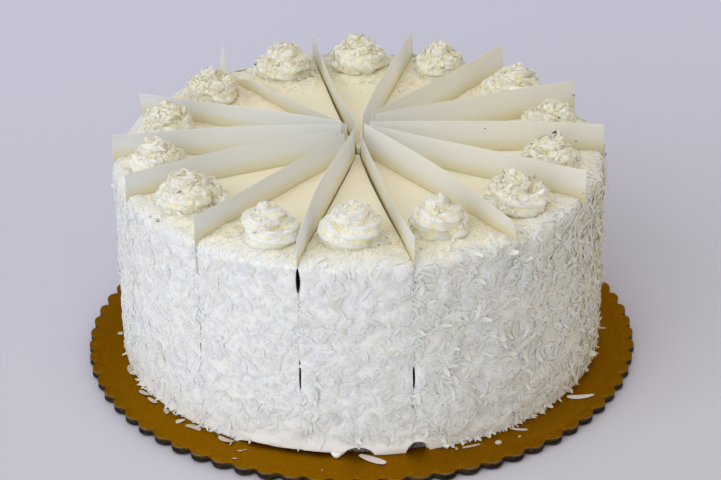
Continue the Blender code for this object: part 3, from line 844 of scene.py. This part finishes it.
def star_section():
    """The outline that the piping tip gives the rope: a star with soft points, of radius 1."""
    curve = bpy.data.curves.new("piping_tip", "CURVE")
    curve.dimensions = "2D"
    spline = curve.splines.new("POLY")
    spline.use_cyclic_u = True
    count = STAR_POINTS * 8
    spline.points.add(count - 1)
    for number, point in enumerate(spline.points):
        turned = math.tau * number / count
        radius = 1 - STAR_DEPTH * (1 - math.cos(STAR_POINTS * turned)) / 2
        point.co = (radius * math.cos(turned), radius * math.sin(turned), 0, 1)
    section = bpy.data.objects.new("piping_tip", curve)
    bpy.context.scene.collection.objects.link(section)
    return section


def rosette_outline(share):
    """The rosette's radius at a share of its height, as a part of the lowest coil's radius."""
    return 1.04 * max(0.0, 1 - share ** 1.35) ** 0.8


def pipe_rosette(index, section):
    """A star-shaped rope of cream that climbs inwards in coils to a small leaning peak."""
    coil, tall = (size * MM for size in ROSETTES[index][2:])
    spin = 2.4 * index
    place = rosette_place(index)
    lean = Vector((math.cos(spin), math.sin(spin), 0)) * 1.5 * MM
    curve = bpy.data.curves.new("rope", "CURVE")
    curve.dimensions = "3D"
    curve.twist_mode = "Z_UP"
    curve.bevel_mode = "OBJECT"
    curve.bevel_object = section
    curve.use_fill_caps = True
    spline = curve.splines.new("POLY")
    count = int(ROPE_TURNS * 30)
    spline.points.add(count - 1)
    for number, point in enumerate(spline.points):
        run = number / (count - 1)
        rope = coil * ROPE_SHARE * (1 - 0.72 * run ** 1.2) * (1 - 0.7 * run ** 14)
        low = 0.5 * coil * ROPE_SHARE
        height = low + (tall - low - 0.4 * rope) * run ** 1.05
        uneven = 1 + 0.07 * math.sin(7 * run * math.tau / 2 + index) + 0.05 * math.sin(17 * run + 2 * index)
        reach = max(0.0, coil * rosette_outline(min(1.0, height / tall)) * uneven - rope * 0.75)
        reach *= 1 - run ** 6
        turned = spin + math.tau * ROPE_TURNS * run
        middle = place + lean * run + Vector((reach * math.cos(turned), reach * math.sin(turned), height))
        point.co = (*middle, 1)
        point.radius = rope * (1 + 0.1 * math.sin(11 * run + 3 * index))
        point.tilt = ROPE_TWIST * run + 0.7 * index
    piece = bpy.data.objects.new("rope", curve)
    bpy.context.scene.collection.objects.link(piece)
    pick(piece)
    bpy.ops.object.convert(target="MESH")
    piece = bpy.context.object
    foot, top, high = SKIRT
    for wide, narrow, deep in ((coil * 0.93, coil * 0.28, tall * 0.86), (coil * foot, coil * top, tall * high)):
        middle = Vector((place.x, place.y, CAKE_TOP - 1 * MM + deep / 2))
        bpy.ops.mesh.primitive_cone_add(vertices=32, radius1=wide, radius2=narrow, depth=deep, location=middle)
        core = bpy.context.object
        pick(core, piece)
        bpy.ops.object.join()
    use(piece, "REMESH", mode="VOXEL", voxel_size=ROPE_VOXEL)
    texture = bpy.data.textures.get("cream_ripples") or bpy.data.textures.new("cream_ripples", "CLOUDS")
    texture.noise_scale = 9 * MM
    buried = float(burial(sum(slice_span(index)) / 2))
    shallow, deep = RIPPLES
    use(piece, "DISPLACE", texture=texture, texture_coords="LOCAL", mid_level=0.5,
        strength=shallow + (deep - shallow) * buried)
    use(piece, "SMOOTH", factor=0.5, iterations=3)
    hollow = mark_hollows(piece, buried)
    roughen(piece, hollow)
    edit(piece)
    cuts = [(CAKE_CENTRE + inward * (CUT_HALF + 0.3 * MM), inward) for inward in slice_walls(index)]
    cuts.append((Vector((0, 0, CAKE_TOP - 0.4 * MM)), Vector((0, 0, 1))))
    for place, normal in cuts:
        bpy.ops.mesh.select_all(action="SELECT")
        bpy.ops.mesh.bisect(plane_co=place, plane_no=normal, use_fill=True, clear_inner=True)
    leave_edit()
    pick(piece)
    bpy.ops.object.shade_smooth()
    return piece


def roughen(piece, hollow):
    """Raises the coconut's relief in the grooves, and a little of it on the crests."""
    group = piece.vertex_groups.new(name="grooves")
    for number, share in enumerate(hollow):
        group.add([number], float(0.12 + 0.88 * share), "REPLACE")
    for name, size, strength in FUZZ:
        texture = bpy.data.textures.get(name) or bpy.data.textures.new(name, "CLOUDS")
        texture.noise_scale = size
        use(piece, "DISPLACE", texture=texture, texture_coords="LOCAL", strength=strength, mid_level=0.42,
            vertex_group="grooves")


def mark_hollows(piece, buried):
    """Gives each vertex a hollow value, 1 in the grooves and 0 on the crests, by how far it lies below the
    shape that is left when the surface is smoothed, and more where the rosette is buried in coconut."""
    mesh = piece.data
    ends = np.empty(len(mesh.edges) * 2, int)
    mesh.edges.foreach_get("vertices", ends)
    ends = ends.reshape(-1, 2)
    points = corners_of(piece)
    count = len(points)
    normals = np.array([vertex.normal for vertex in mesh.vertices])
    neighbours = np.bincount(ends.ravel(), minlength=count)[:, None]
    soft = points
    for _ in range(SMOOTHING_ROUNDS):
        sums = [np.bincount(ends[:, 0], soft[ends[:, 1], axis], count)
                + np.bincount(ends[:, 1], soft[ends[:, 0], axis], count) for axis in range(3)]
        soft = np.stack(sums, axis=1) / neighbours
    below = ((soft - points) * normals).sum(axis=1)
    hollow = ramp(below, np.percentile(below, 35), np.percentile(below, 85))
    heaped = 0.6 * ramp(points[:, 2], CAKE_TOP + 5 * MM, CAKE_TOP + 2 * MM)
    heaped = heaped * ramp(below, np.percentile(below, 5), np.percentile(below, 35))
    hollow = np.clip(hollow + heaped + 0.35 * buried, 0, 1)
    mesh.attributes.new("hollow", "FLOAT", "POINT").data.foreach_set("value", hollow)
    return hollow


def add_rosettes(material):
    section = star_section()
    rosettes = []
    for index in range(SLICES):
        piece = pipe_rosette(index, section)
        dress(piece, f"piped_rosette_{index + 1:02d}", material, "whipped_cream", f"rosette_{index + 1:02d}")
        rosettes.append(piece)
    bpy.data.objects.remove(section, do_unlink=True)
    return rosettes


def spread_over(piece, rng, count, weigh):
    """Random places on the piece's faces, as thick as weigh says for each face's middle and normal, and
    thicker in a rosette's grooves."""
    mesh = piece.data
    mesh.calc_loop_triangles()
    triangles = np.empty(len(mesh.loop_triangles) * 3, int)
    mesh.loop_triangles.foreach_get("vertices", triangles)
    corners = corners_of(piece)[triangles.reshape(-1, 3)]
    across = np.cross(corners[:, 1] - corners[:, 0], corners[:, 2] - corners[:, 0])
    area = np.linalg.norm(across, axis=1) / 2
    normals = across / np.maximum(2 * area, 1e-15)[:, None]
    chance = area * weigh(corners.mean(axis=1), normals)
    if "hollow" in mesh.attributes:
        hollow = np.empty(len(mesh.vertices))
        mesh.attributes["hollow"].data.foreach_get("value", hollow)
        chance *= 0.3 + hollow[triangles.reshape(-1, 3)].mean(axis=1)
    chosen = rng.choice(len(area), size=count, p=chance / chance.sum())
    first, second = np.sqrt(rng.random(count)), rng.random(count)
    shares = np.stack((1 - first, first * (1 - second), first * second), axis=1)
    return np.einsum("nc,ncx->nx", shares, corners[chosen]), normals[chosen]


def upright_axes(normals, heading):
    """For each normal, a direction along the surface turned by heading, and the one across it."""
    reference = np.where(np.abs(normals[:, 2:3]) > 0.8, (1.0, 0.0, 0.0), (0.0, 0.0, 1.0))
    along = np.cross(reference, normals)
    along /= np.linalg.norm(along, axis=1)[:, None]
    across = np.cross(normals, along)
    turned_along = along * np.cos(heading)[:, None] + across * np.sin(heading)[:, None]
    return turned_along, np.cross(normals, turned_along)


def drape(points, piece):
    """The nearest places to these points on the piece's surface, and the surface's normals there."""
    tree = BVHTree.FromObject(piece, bpy.context.evaluated_depsgraph_get())
    nearest = [tree.find_nearest(point)[:2] for point in points.reshape(-1, 3)]
    found = np.array([(*place, *normal) for place, normal in nearest])
    return found[:, :3].reshape(points.shape), found[:, 3:].reshape(points.shape)


def shred(rng, places, normals, length, width, lift=2.0, raised=(-0.2, 0.35), curl=(-0.2, 0.3), stations=5,
          heading=(0, 360), over=None, bow=0.6):
    """Curved tapering strips of coconut, as an array of flakes, stations and corners.

    Each lies along its place's tangent, or follows the surface of the piece over which it is draped.
    """
    count = len(places)
    along, across = upright_axes(normals, np.radians(rng.uniform(*heading, count)))
    long = rng.uniform(*length, count)[:, None] * MM
    wide = rng.uniform(*width, count)[:, None] * MM
    station = np.linspace(0, 1, stations)[None, :]
    off = (station - 0.5) * long
    bend = rng.normal(*curl, count)[:, None] / long
    bend = np.where(np.abs(bend) < 1.0, 1.0, bend)
    forward = np.sin(bend * off) / bend
    rise = (1 - np.cos(bend * off)) / bend
    sideways = rng.normal(0, bow, count)[:, None] * off ** 2 / long
    twist = rng.normal(0, 0.25, count)[:, None] * (station - 0.5) + rng.normal(0, 0.09, count)[:, None]
    blunt = rng.uniform(0.25, 0.6, count)[:, None]
    half = wide / 2 * np.maximum(1 - np.abs(2 * station - 1) ** 2.6, 0) ** 0.5
    half = np.maximum(half, wide * blunt / 2)
    tilt = np.radians(rng.normal(0, lift, count))[:, None]
    ahead = forward * np.cos(tilt) - rise * np.sin(tilt)
    above = forward * np.sin(tilt) + rise * np.cos(tilt)
    above = above + rng.uniform(*raised, count)[:, None] * MM
    thick = FLAKE_WALL / 2 * rng.uniform(0.7, 1.2, count)[:, None] * np.ones_like(station)
    edges, ups = [], []
    for side in (1, -1):
        aside = side * half * np.cos(twist) + sideways
        edge = (places[:, None, :] + along[:, None, :] * ahead[..., None] + across[:, None, :] * aside[..., None])
        up = np.broadcast_to(normals[:, None, :], edge.shape)
        if over is not None:
            edge, up = drape(edge, over)
        edges.append(edge + up * (side * half * np.sin(twist) + above)[..., None])
        ups.append(up * thick[..., None])
    ring = (edges[0] + ups[0], edges[1] + ups[1], edges[1] - ups[1], edges[0] - ups[0])
    flakes = np.stack(ring, axis=2)
    flakes[..., 2] += np.maximum(BOARD_TOP + 0.1 * MM - flakes[..., 2].min(axis=(1, 2)), 0)[:, None, None]
    return flakes


def keep_in_slice(flakes, index, clearance):
    """Moves flakes that reach over a cut back into their slice, and drops what still crosses it."""
    middle = np.array(CAKE_CENTRE)
    walls = [np.array(inward) for inward in slice_walls(index)]
    for inward in walls:
        reach = ((flakes - middle) @ inward).min(axis=(1, 2))
        short = np.maximum(clearance - reach, 0)
        flakes = flakes + (short[:, None] * inward)[:, None, None, :]
    reach = np.min([((flakes - middle) @ inward).min(axis=(1, 2)) for inward in walls], axis=0)
    return flakes[(reach > clearance - 0.01 * MM) & ~over_slit(flakes)]


def over_slit(flakes):
    """Which flakes would hide one of the slits."""
    _, azimuth = polar_of(flakes)
    hides = np.zeros(len(flakes), bool)
    for sheet, height, half_height, half_width in SLITS:
        aside = np.radians((azimuth - paper_azimuth(sheet - 1) + 180) % 360 - 180) * CAKE_RADIUS
        above = flakes[..., 2] - height
        inside = (np.abs(aside) < half_width + 0.2 * MM) & (np.abs(above) < half_height)
        hides |= inside.any(axis=(1, 2))
    return hides


def tones_of(rng, flakes, mean):
    """Each flake's tone, whiter at the rim than inside it; on the side it is strawer towards the wild right and the
    back, which is painted warm shade.
    """
    middles = flakes.mean(axis=(1, 2))
    radius, azimuth = polar_of(middles)
    on_top = 0.15 + 0.85 * ramp(radius, 131 * MM, 108 * MM)
    # Painted warm shade: flakes on the side turn strawer towards the right and the back.
    on_side = 0.1 + 0.5 * wildness(azimuth) + 1.2 * ramp(azimuth, -45, -5) * ramp(azimuth, 150, 90)
    means = mean * np.where(middles[:, 2] > CAKE_TOP - 1.5 * MM, on_top, on_side)
    return np.clip(rng.normal(means, 0.2), 0, 1)


def flakes_piece(name, flakes, tones, material, slot):
    """Joins an array of flakes into one piece, each with a tone of its own."""
    count, stations = flakes.shape[:2]
    ring = np.arange(4)
    faces = []
    for station in range(stations - 1):
        here, there = station * 4, station * 4 + 4
        faces += [(here + a, here + (a + 1) % 4, there + (a + 1) % 4, there + a) for a in ring]
    last = 4 * (stations - 1)
    faces += [(3, 2, 1, 0), (last, last + 1, last + 2, last + 3)]
    per_flake = stations * 4
    faces = (np.array(faces)[None] + np.arange(count)[:, None, None] * per_flake).reshape(-1, 4)
    mesh = bpy.data.meshes.new(name)
    mesh.vertices.add(count * per_flake)
    mesh.vertices.foreach_set("co", flakes.ravel())
    mesh.loops.add(faces.size)
    mesh.loops.foreach_set("vertex_index", faces.ravel())
    mesh.polygons.add(len(faces))
    mesh.polygons.foreach_set("loop_start", np.arange(0, faces.size, 4))
    mesh.update(calc_edges=True)
    mesh.shade_smooth()
    mesh.set_sharp_from_angle(angle=math.radians(40))
    tone = mesh.attributes.new("tone", "FLOAT", "POINT")
    tone.data.foreach_set("value", np.repeat(tones, per_flake))
    piece = bpy.data.objects.new(name, mesh)
    bpy.context.scene.collection.objects.link(piece)
    return dress(piece, name, material, slot)


def weigh_side(middles, normals):
    """Coconut is thick on the side and the rim, but for the smooth lip along the foot's front."""
    radius, azimuth = polar_of(middles)
    turned = np.radians(azimuth)
    outward = normals[:, 0] * np.cos(turned) + normals[:, 1] * np.sin(turned)
    lip_top = BOARD_TOP + 7.0 * MM + 1.5 * MM * np.sin(turned * 40)
    front = (azimuth > -118) & (azimuth < -72) & (middles[:, 2] < lip_top)
    side = (radius > CREAM_RADIUS - SHOULDER) & (outward + normals[:, 2] > 0.6)
    return 1.0 * (side & ~front & (middles[:, 2] > BOARD_TOP + 1 * MM))


def weigh_top(middles, normals):
    """Coconut thins out from the rim towards the smooth middle of the top, sooner at the front."""
    radius, azimuth = polar_of(middles)
    front = ramp(np.abs((azimuth + 95 + 180) % 360 - 180), 75, 25)
    start = HEAP_START - 6 * MM + 12 * MM * front
    return ramp(radius, start, start + 26 * MM) ** 1.6 * (normals[:, 2] > 0.5)


def fringe(rng):
    """Flakes that point out over the board from the foot of the side."""
    found = []
    for first, last, count in FRINGES:
        azimuths = rng.uniform(first, last, count)
        places = np.array([polar(CREAM_RADIUS + rng.uniform(-1.5, 1.0) * MM, azimuth,
                                 BOARD_TOP + rng.uniform(0.3, 3.0) * MM) for azimuth in azimuths])
        normals = np.array([polar(0.35, azimuth, 1.0) - CAKE_CENTRE for azimuth in azimuths])
        normals /= np.linalg.norm(normals, axis=1)[:, None]
        for number, azimuth in enumerate(azimuths):
            here = slice(number, number + 1)
            found.append(shred(rng, places[here], normals[here], (2.5, 6.5), (0.8, 2.0), 12, curl=(0.4, 0.6),
                               heading=(azimuth + 25, azimuth + 155)))
    return np.concatenate(found)


def fallen_coconut(rng):
    """The loose flakes and crumbs that the photo shows on the board."""
    found = []
    for distance, azimuth, heading, long, wide in FALLEN:
        place = np.array([polar(distance * MM, azimuth, BOARD_TOP + 0.3 * MM)])
        aim = heading + 90
        found.append(shred(rng, place, np.array([[0.0, 0.0, 1.0]]), (long, long), (wide, wide), 2, (0.0, 0.1),
                           (0.12, 0.15), 9, (aim, aim), bow=0.2))
    return np.concatenate(found)


def weigh_rosette(middles, normals):
    """Coconut clings to what faces up or out on a rosette, most of all to its peak."""
    return (0.4 + 0.6 * ramp(middles[:, 2], CAKE_TOP + 4 * MM, CAKE_TOP + 18 * MM)) * (normals[:, 2] > -0.2)


def wildness(azimuth):
    """0 on the left, where the coconut lies flat and fine, and 1 on the right, where it is long and curls."""
    azimuth = (azimuth + 180) % 360 - 180
    return ramp(azimuth, -110, -55) * ramp(azimuth, 150, 90)


def burial(azimuth):
    """0 at the front, where the piped swirls show, and 1 where the rosettes are buried in coconut."""
    away = np.abs((azimuth + 95 + 180) % 360 - 180)
    return ramp(away, 18, 48)


def lay_coconut(rng, kinds, pieces, weigh, clearance, lying, loose, slot, over=None, wildness=wildness):
    """Strews these kinds of flakes over a piece for each slice, draped over that piece or over another."""
    for name, calm, wild, length, width, lift, (low, high), curl, stations, tone in kinds:
        found = []
        material = loose if "loose" in name or "curls" in name else lying
        for index, piece in enumerate(pieces):
            first, last = slice_span(index)
            wildly = float(wildness((first + last) / 2))
            count = round(calm + (wild - calm) * wildly)
            raised = (low, low + (high - low) * (0.6 + 0.4 * wildly if over else 1.0))
            places, normals = spread_over(piece, rng, round(count * (last - first) * SLICES / 360), weigh)
            flakes = shred(rng, places, normals, length, width, lift, raised, curl, stations, over=over or piece)
            found.append(keep_in_slice(flakes, index, clearance))
        flakes = np.concatenate(found)
        flakes_piece(name, flakes, tones_of(rng, flakes, tone), material, slot)


def scatter_coconut(drum, slices, rosettes, white, ivory, loose, dull):
    """All the coconut. Flakes on the side bridge the cuts a little, as they did before the knife came."""
    rng = np.random.default_rng(SEED)
    lay_coconut(rng, SIDE_COCONUT, slices, weigh_side, -0.9 * MM, white, loose, "coconut_cream", over=drum)
    lay_coconut(rng, TOP_COCONUT, slices, weigh_top, 0.3 * MM, ivory, loose, "coconut_cream")
    lay_coconut(rng, ROSETTE_COCONUT, rosettes, weigh_rosette, 0.3 * MM, ivory, ivory, "whipped_cream",
                wildness=burial)
    at_foot = fringe(rng)
    flakes_piece("coconut_at_foot", at_foot, tones_of(rng, at_foot, 0.3), loose, "coconut_cream")
    fallen = fallen_coconut(rng)
    large = np.array([long > 12.0 for _, _, _, long, _ in FALLEN])
    tones = np.where(large, 0.0, rng.uniform(0.4, 1.0, len(fallen)))
    flakes_piece("fallen_coconut", fallen, tones, dull, "coconut_cream")


def scallop_share(azimuth):
    """How far along its scallop an azimuth about the board's middle lies, from notch to notch."""
    return (azimuth - FIRST_NOTCH) * SCALLOPS / 360 % 1.0


def board_radius(azimuth):
    """The board's scalloped outline, about its own middle: convex arcs between sharp notches."""
    return BOARD_NOTCH + (BOARD_TIP - BOARD_NOTCH) * np.sin(np.pi * scallop_share(azimuth)) ** 0.8


def add_board(foil, upper, lower):
    """Two cards under gold foil, pinched together at each notch and bulging between as the cutter leaves them."""
    count = SCALLOPS * SCALLOP_STEPS
    rows = (
        ("board_foil", 4.7, 5.0, 0.0, 0.0, foil),
        ("board_upper_card", 2.5, 4.72, 0.5, 0.7, upper),
        ("board_lower_card", 0.0, 2.35, 0.9, 1.1, lower),
    )
    for name, low, high, inset, bulge, material in rows:
        low, high = low * MM, high * MM
        bpy.ops.mesh.primitive_cylinder_add(vertices=count, radius=BOARD_TIP, depth=high - low,
                                            location=(0, 0, (low + high) / 2), end_fill_type="NGON")
        piece = bpy.context.object
        bpy.ops.object.transform_apply(location=True)
        edit(piece)
        choose(piece, "faces", lambda face: len(face.verts) > 4)
        bpy.ops.mesh.inset(thickness=5 * MM)
        choose(piece, "edges", lambda edge: abs(edge.verts[0].co.z - edge.verts[1].co.z) > 0.1 * MM)
        bpy.ops.mesh.subdivide(number_cuts=5)
        leave_edit()
        points = corners_of(piece)
        radius = np.hypot(points[:, 0], points[:, 1])
        azimuth = np.degrees(np.arctan2(points[:, 1], points[:, 0]))
        share = scallop_share(azimuth)
        uneven = 1 + 0.25 * np.sin(2.4 * np.floor((azimuth - FIRST_NOTCH) * SCALLOPS / 360))
        pinch = np.exp(-(np.minimum(share, 1 - share) / 0.16) ** 2) * uneven
        level = np.clip((points[:, 2] - low) / (high - low), 0, 1)
        target = board_radius(azimuth) - inset * MM
        belly = np.clip(np.sin(np.pi * level), 0, 1) ** 0.7
        target += bulge * MM * uneven * belly * np.sin(np.pi * share) - 0.5 * MM * pinch
        rim = radius > BOARD_TIP - 1 * MM
        points[:, :2] *= np.where(rim, target / radius, 1.0)[:, None]
        squeezed = BOARD_TOP / 2 + (points[:, 2] - BOARD_TOP / 2) * (1 - 0.35 * pinch)
        points[:, 2] = np.where(rim, squeezed, points[:, 2])
        move_corners(piece, points)
        pick(piece)
        bpy.ops.object.shade_smooth_by_angle(angle=math.radians(50))
        dress(piece, name, material, "gold_card", "cake_board")


def add_stage():
    """A pale floor, a little bluer and brighter towards the back, which is painted light."""
    bpy.ops.mesh.primitive_plane_add(size=8.0, location=(0, 1.5, -0.0005))
    floor = bpy.context.object
    floor.name = "floor"
    bpy.ops.object.transform_apply(location=True)
    material, tree, shader = new_material("pale_floor", Roughness=0.7)
    place = tree.nodes.new("ShaderNodeTexCoord")
    split = tree.nodes.new("ShaderNodeSeparateXYZ")
    back = tree.nodes.new("ShaderNodeMapRange")
    back.inputs["From Min"].default_value = -0.2
    back.inputs["From Max"].default_value = 0.5
    mix = tree.nodes.new("ShaderNodeMix")
    mix.data_type = "RGBA"
    # Painted light: the floor turns bluer and brighter towards the back.
    mix.inputs["A"].default_value = (0.595, 0.575, 0.65, 1)
    mix.inputs["B"].default_value = (0.675, 0.675, 0.86, 1)
    tree.links.new(place.outputs["Object"], split.inputs["Vector"])
    tree.links.new(split.outputs["Y"], back.inputs["Value"])
    tree.links.new(back.outputs["Result"], mix.inputs["Factor"])
    tree.links.new(mix.outputs["Result"], shader.inputs["Base Color"])
    floor.data.materials.append(material)


def add_lamp(name, place, size, power, colour):
    """A soft square lamp that looks at the cake."""
    place = Vector(place)
    aim = (Vector((0, 0, 0.06)) - place).to_track_quat("-Z", "Y").to_euler()
    bpy.ops.object.light_add(type="AREA", location=place, rotation=aim)
    lamp = bpy.context.object
    lamp.name = name
    lamp.data.size = size
    lamp.data.energy = power
    lamp.data.color = colour


def add_light():
    add_lamp("window", (-1.9, -2.5, 1.9), 4.4, 107, (0.94, 0.975, 1.0))
    add_lamp("ceiling", (0.0, 0.0, 2.4), 2.0, 14, (1.0, 0.96, 0.88))
    add_lamp("warm_wall", (2.2, -0.5, 0.45), 1.6, 8, (1.0, 0.69, 0.25))
    world = bpy.data.worlds.new("studio")
    bpy.context.scene.world = world
    world.use_nodes = True
    background = world.node_tree.nodes["Background"]
    background.inputs["Color"].default_value = (0.995, 0.985, 0.945, 1)
    background.inputs["Strength"].default_value = 0.392
    bpy.context.scene.view_settings.view_transform = "Standard"


def add_camera():
    """The photograph's viewpoint: 1.4 m away, looking down at 28 degrees."""
    bpy.ops.object.camera_add()
    camera = bpy.context.object
    camera.name = "camera"
    camera.data.lens = 124.8
    camera.data.sensor_width = 36.0
    camera.matrix_world = (Matrix.Translation((0, -1.2333, 0.715)) @ Matrix.Rotation(-0.0002, 4, "Z")
                           @ Matrix.Rotation(math.pi / 2 - 0.4859, 4, "X") @ Matrix.Rotation(-0.0134, 4, "Z"))
    bpy.context.scene.camera = camera


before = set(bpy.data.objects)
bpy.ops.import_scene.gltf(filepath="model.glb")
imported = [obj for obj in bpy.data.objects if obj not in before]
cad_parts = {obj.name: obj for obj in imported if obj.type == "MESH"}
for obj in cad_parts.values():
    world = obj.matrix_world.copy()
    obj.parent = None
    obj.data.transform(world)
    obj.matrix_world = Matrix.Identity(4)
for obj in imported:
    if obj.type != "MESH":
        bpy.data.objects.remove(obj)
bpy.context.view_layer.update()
bpy.ops.object.select_all(action="DESELECT")
mottle = mottle_group()
grain = grain_group()
cream = cream_material(mottle, grain)
white_coconut = coconut_material("white_coconut", (0.935, 0.95, 0.955), (0.915, 0.895, 0.78), 0.28, grain)
loose_coconut = coconut_material("loose_coconut", (0.935, 0.945, 0.935), (0.93, 0.91, 0.78), 0.4, grain)
ivory_coconut = coconut_material("ivory_coconut", (0.95, 0.945, 0.92), (0.95, 0.865, 0.62), 0.22, grain)
dull_coconut = coconut_material("dull_coconut", (0.87, 0.81, 0.76), (0.62, 0.52, 0.42), 0.2, grain)
add_camera()
add_light()
add_stage()
drum = frosted_drum()
slices = cut_slices(drum, cream)
sheets = add_sheets(parchment_material(mottle))
add_specks(sheets, "dark_specks", DARK_SPECKS, speck_material("dark_speck", (0.03, 0.025, 0.02, 1)))
add_specks(sheets, "red_specks", RED_SPECKS, speck_material("red_speck", (0.35, 0.03, 0.03, 1)))
add_nibs(cream)
rosettes = add_rosettes(piped_material(mottle, grain))
scatter_coconut(drum, slices, rosettes, white_coconut, ivory_coconut, loose_coconut, dull_coconut)
bpy.data.objects.remove(drum, do_unlink=True)
upper_card = card_material("brown_card", (0.095, 0.055, 0.024, 1), (0.018, 0.010, 0.004, 1), mottle, grain)
lower_card = card_material("dark_card_edge", (0.03, 0.017, 0.008, 1), (0.005, 0.003, 0.002, 1), mottle, grain)
add_board(foil_material(mottle, grain), upper_card, lower_card)
inner_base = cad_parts["inner_base"]
inner_base.data.materials.clear()
inner_base.data.materials.append(dark_material(mottle, grain))
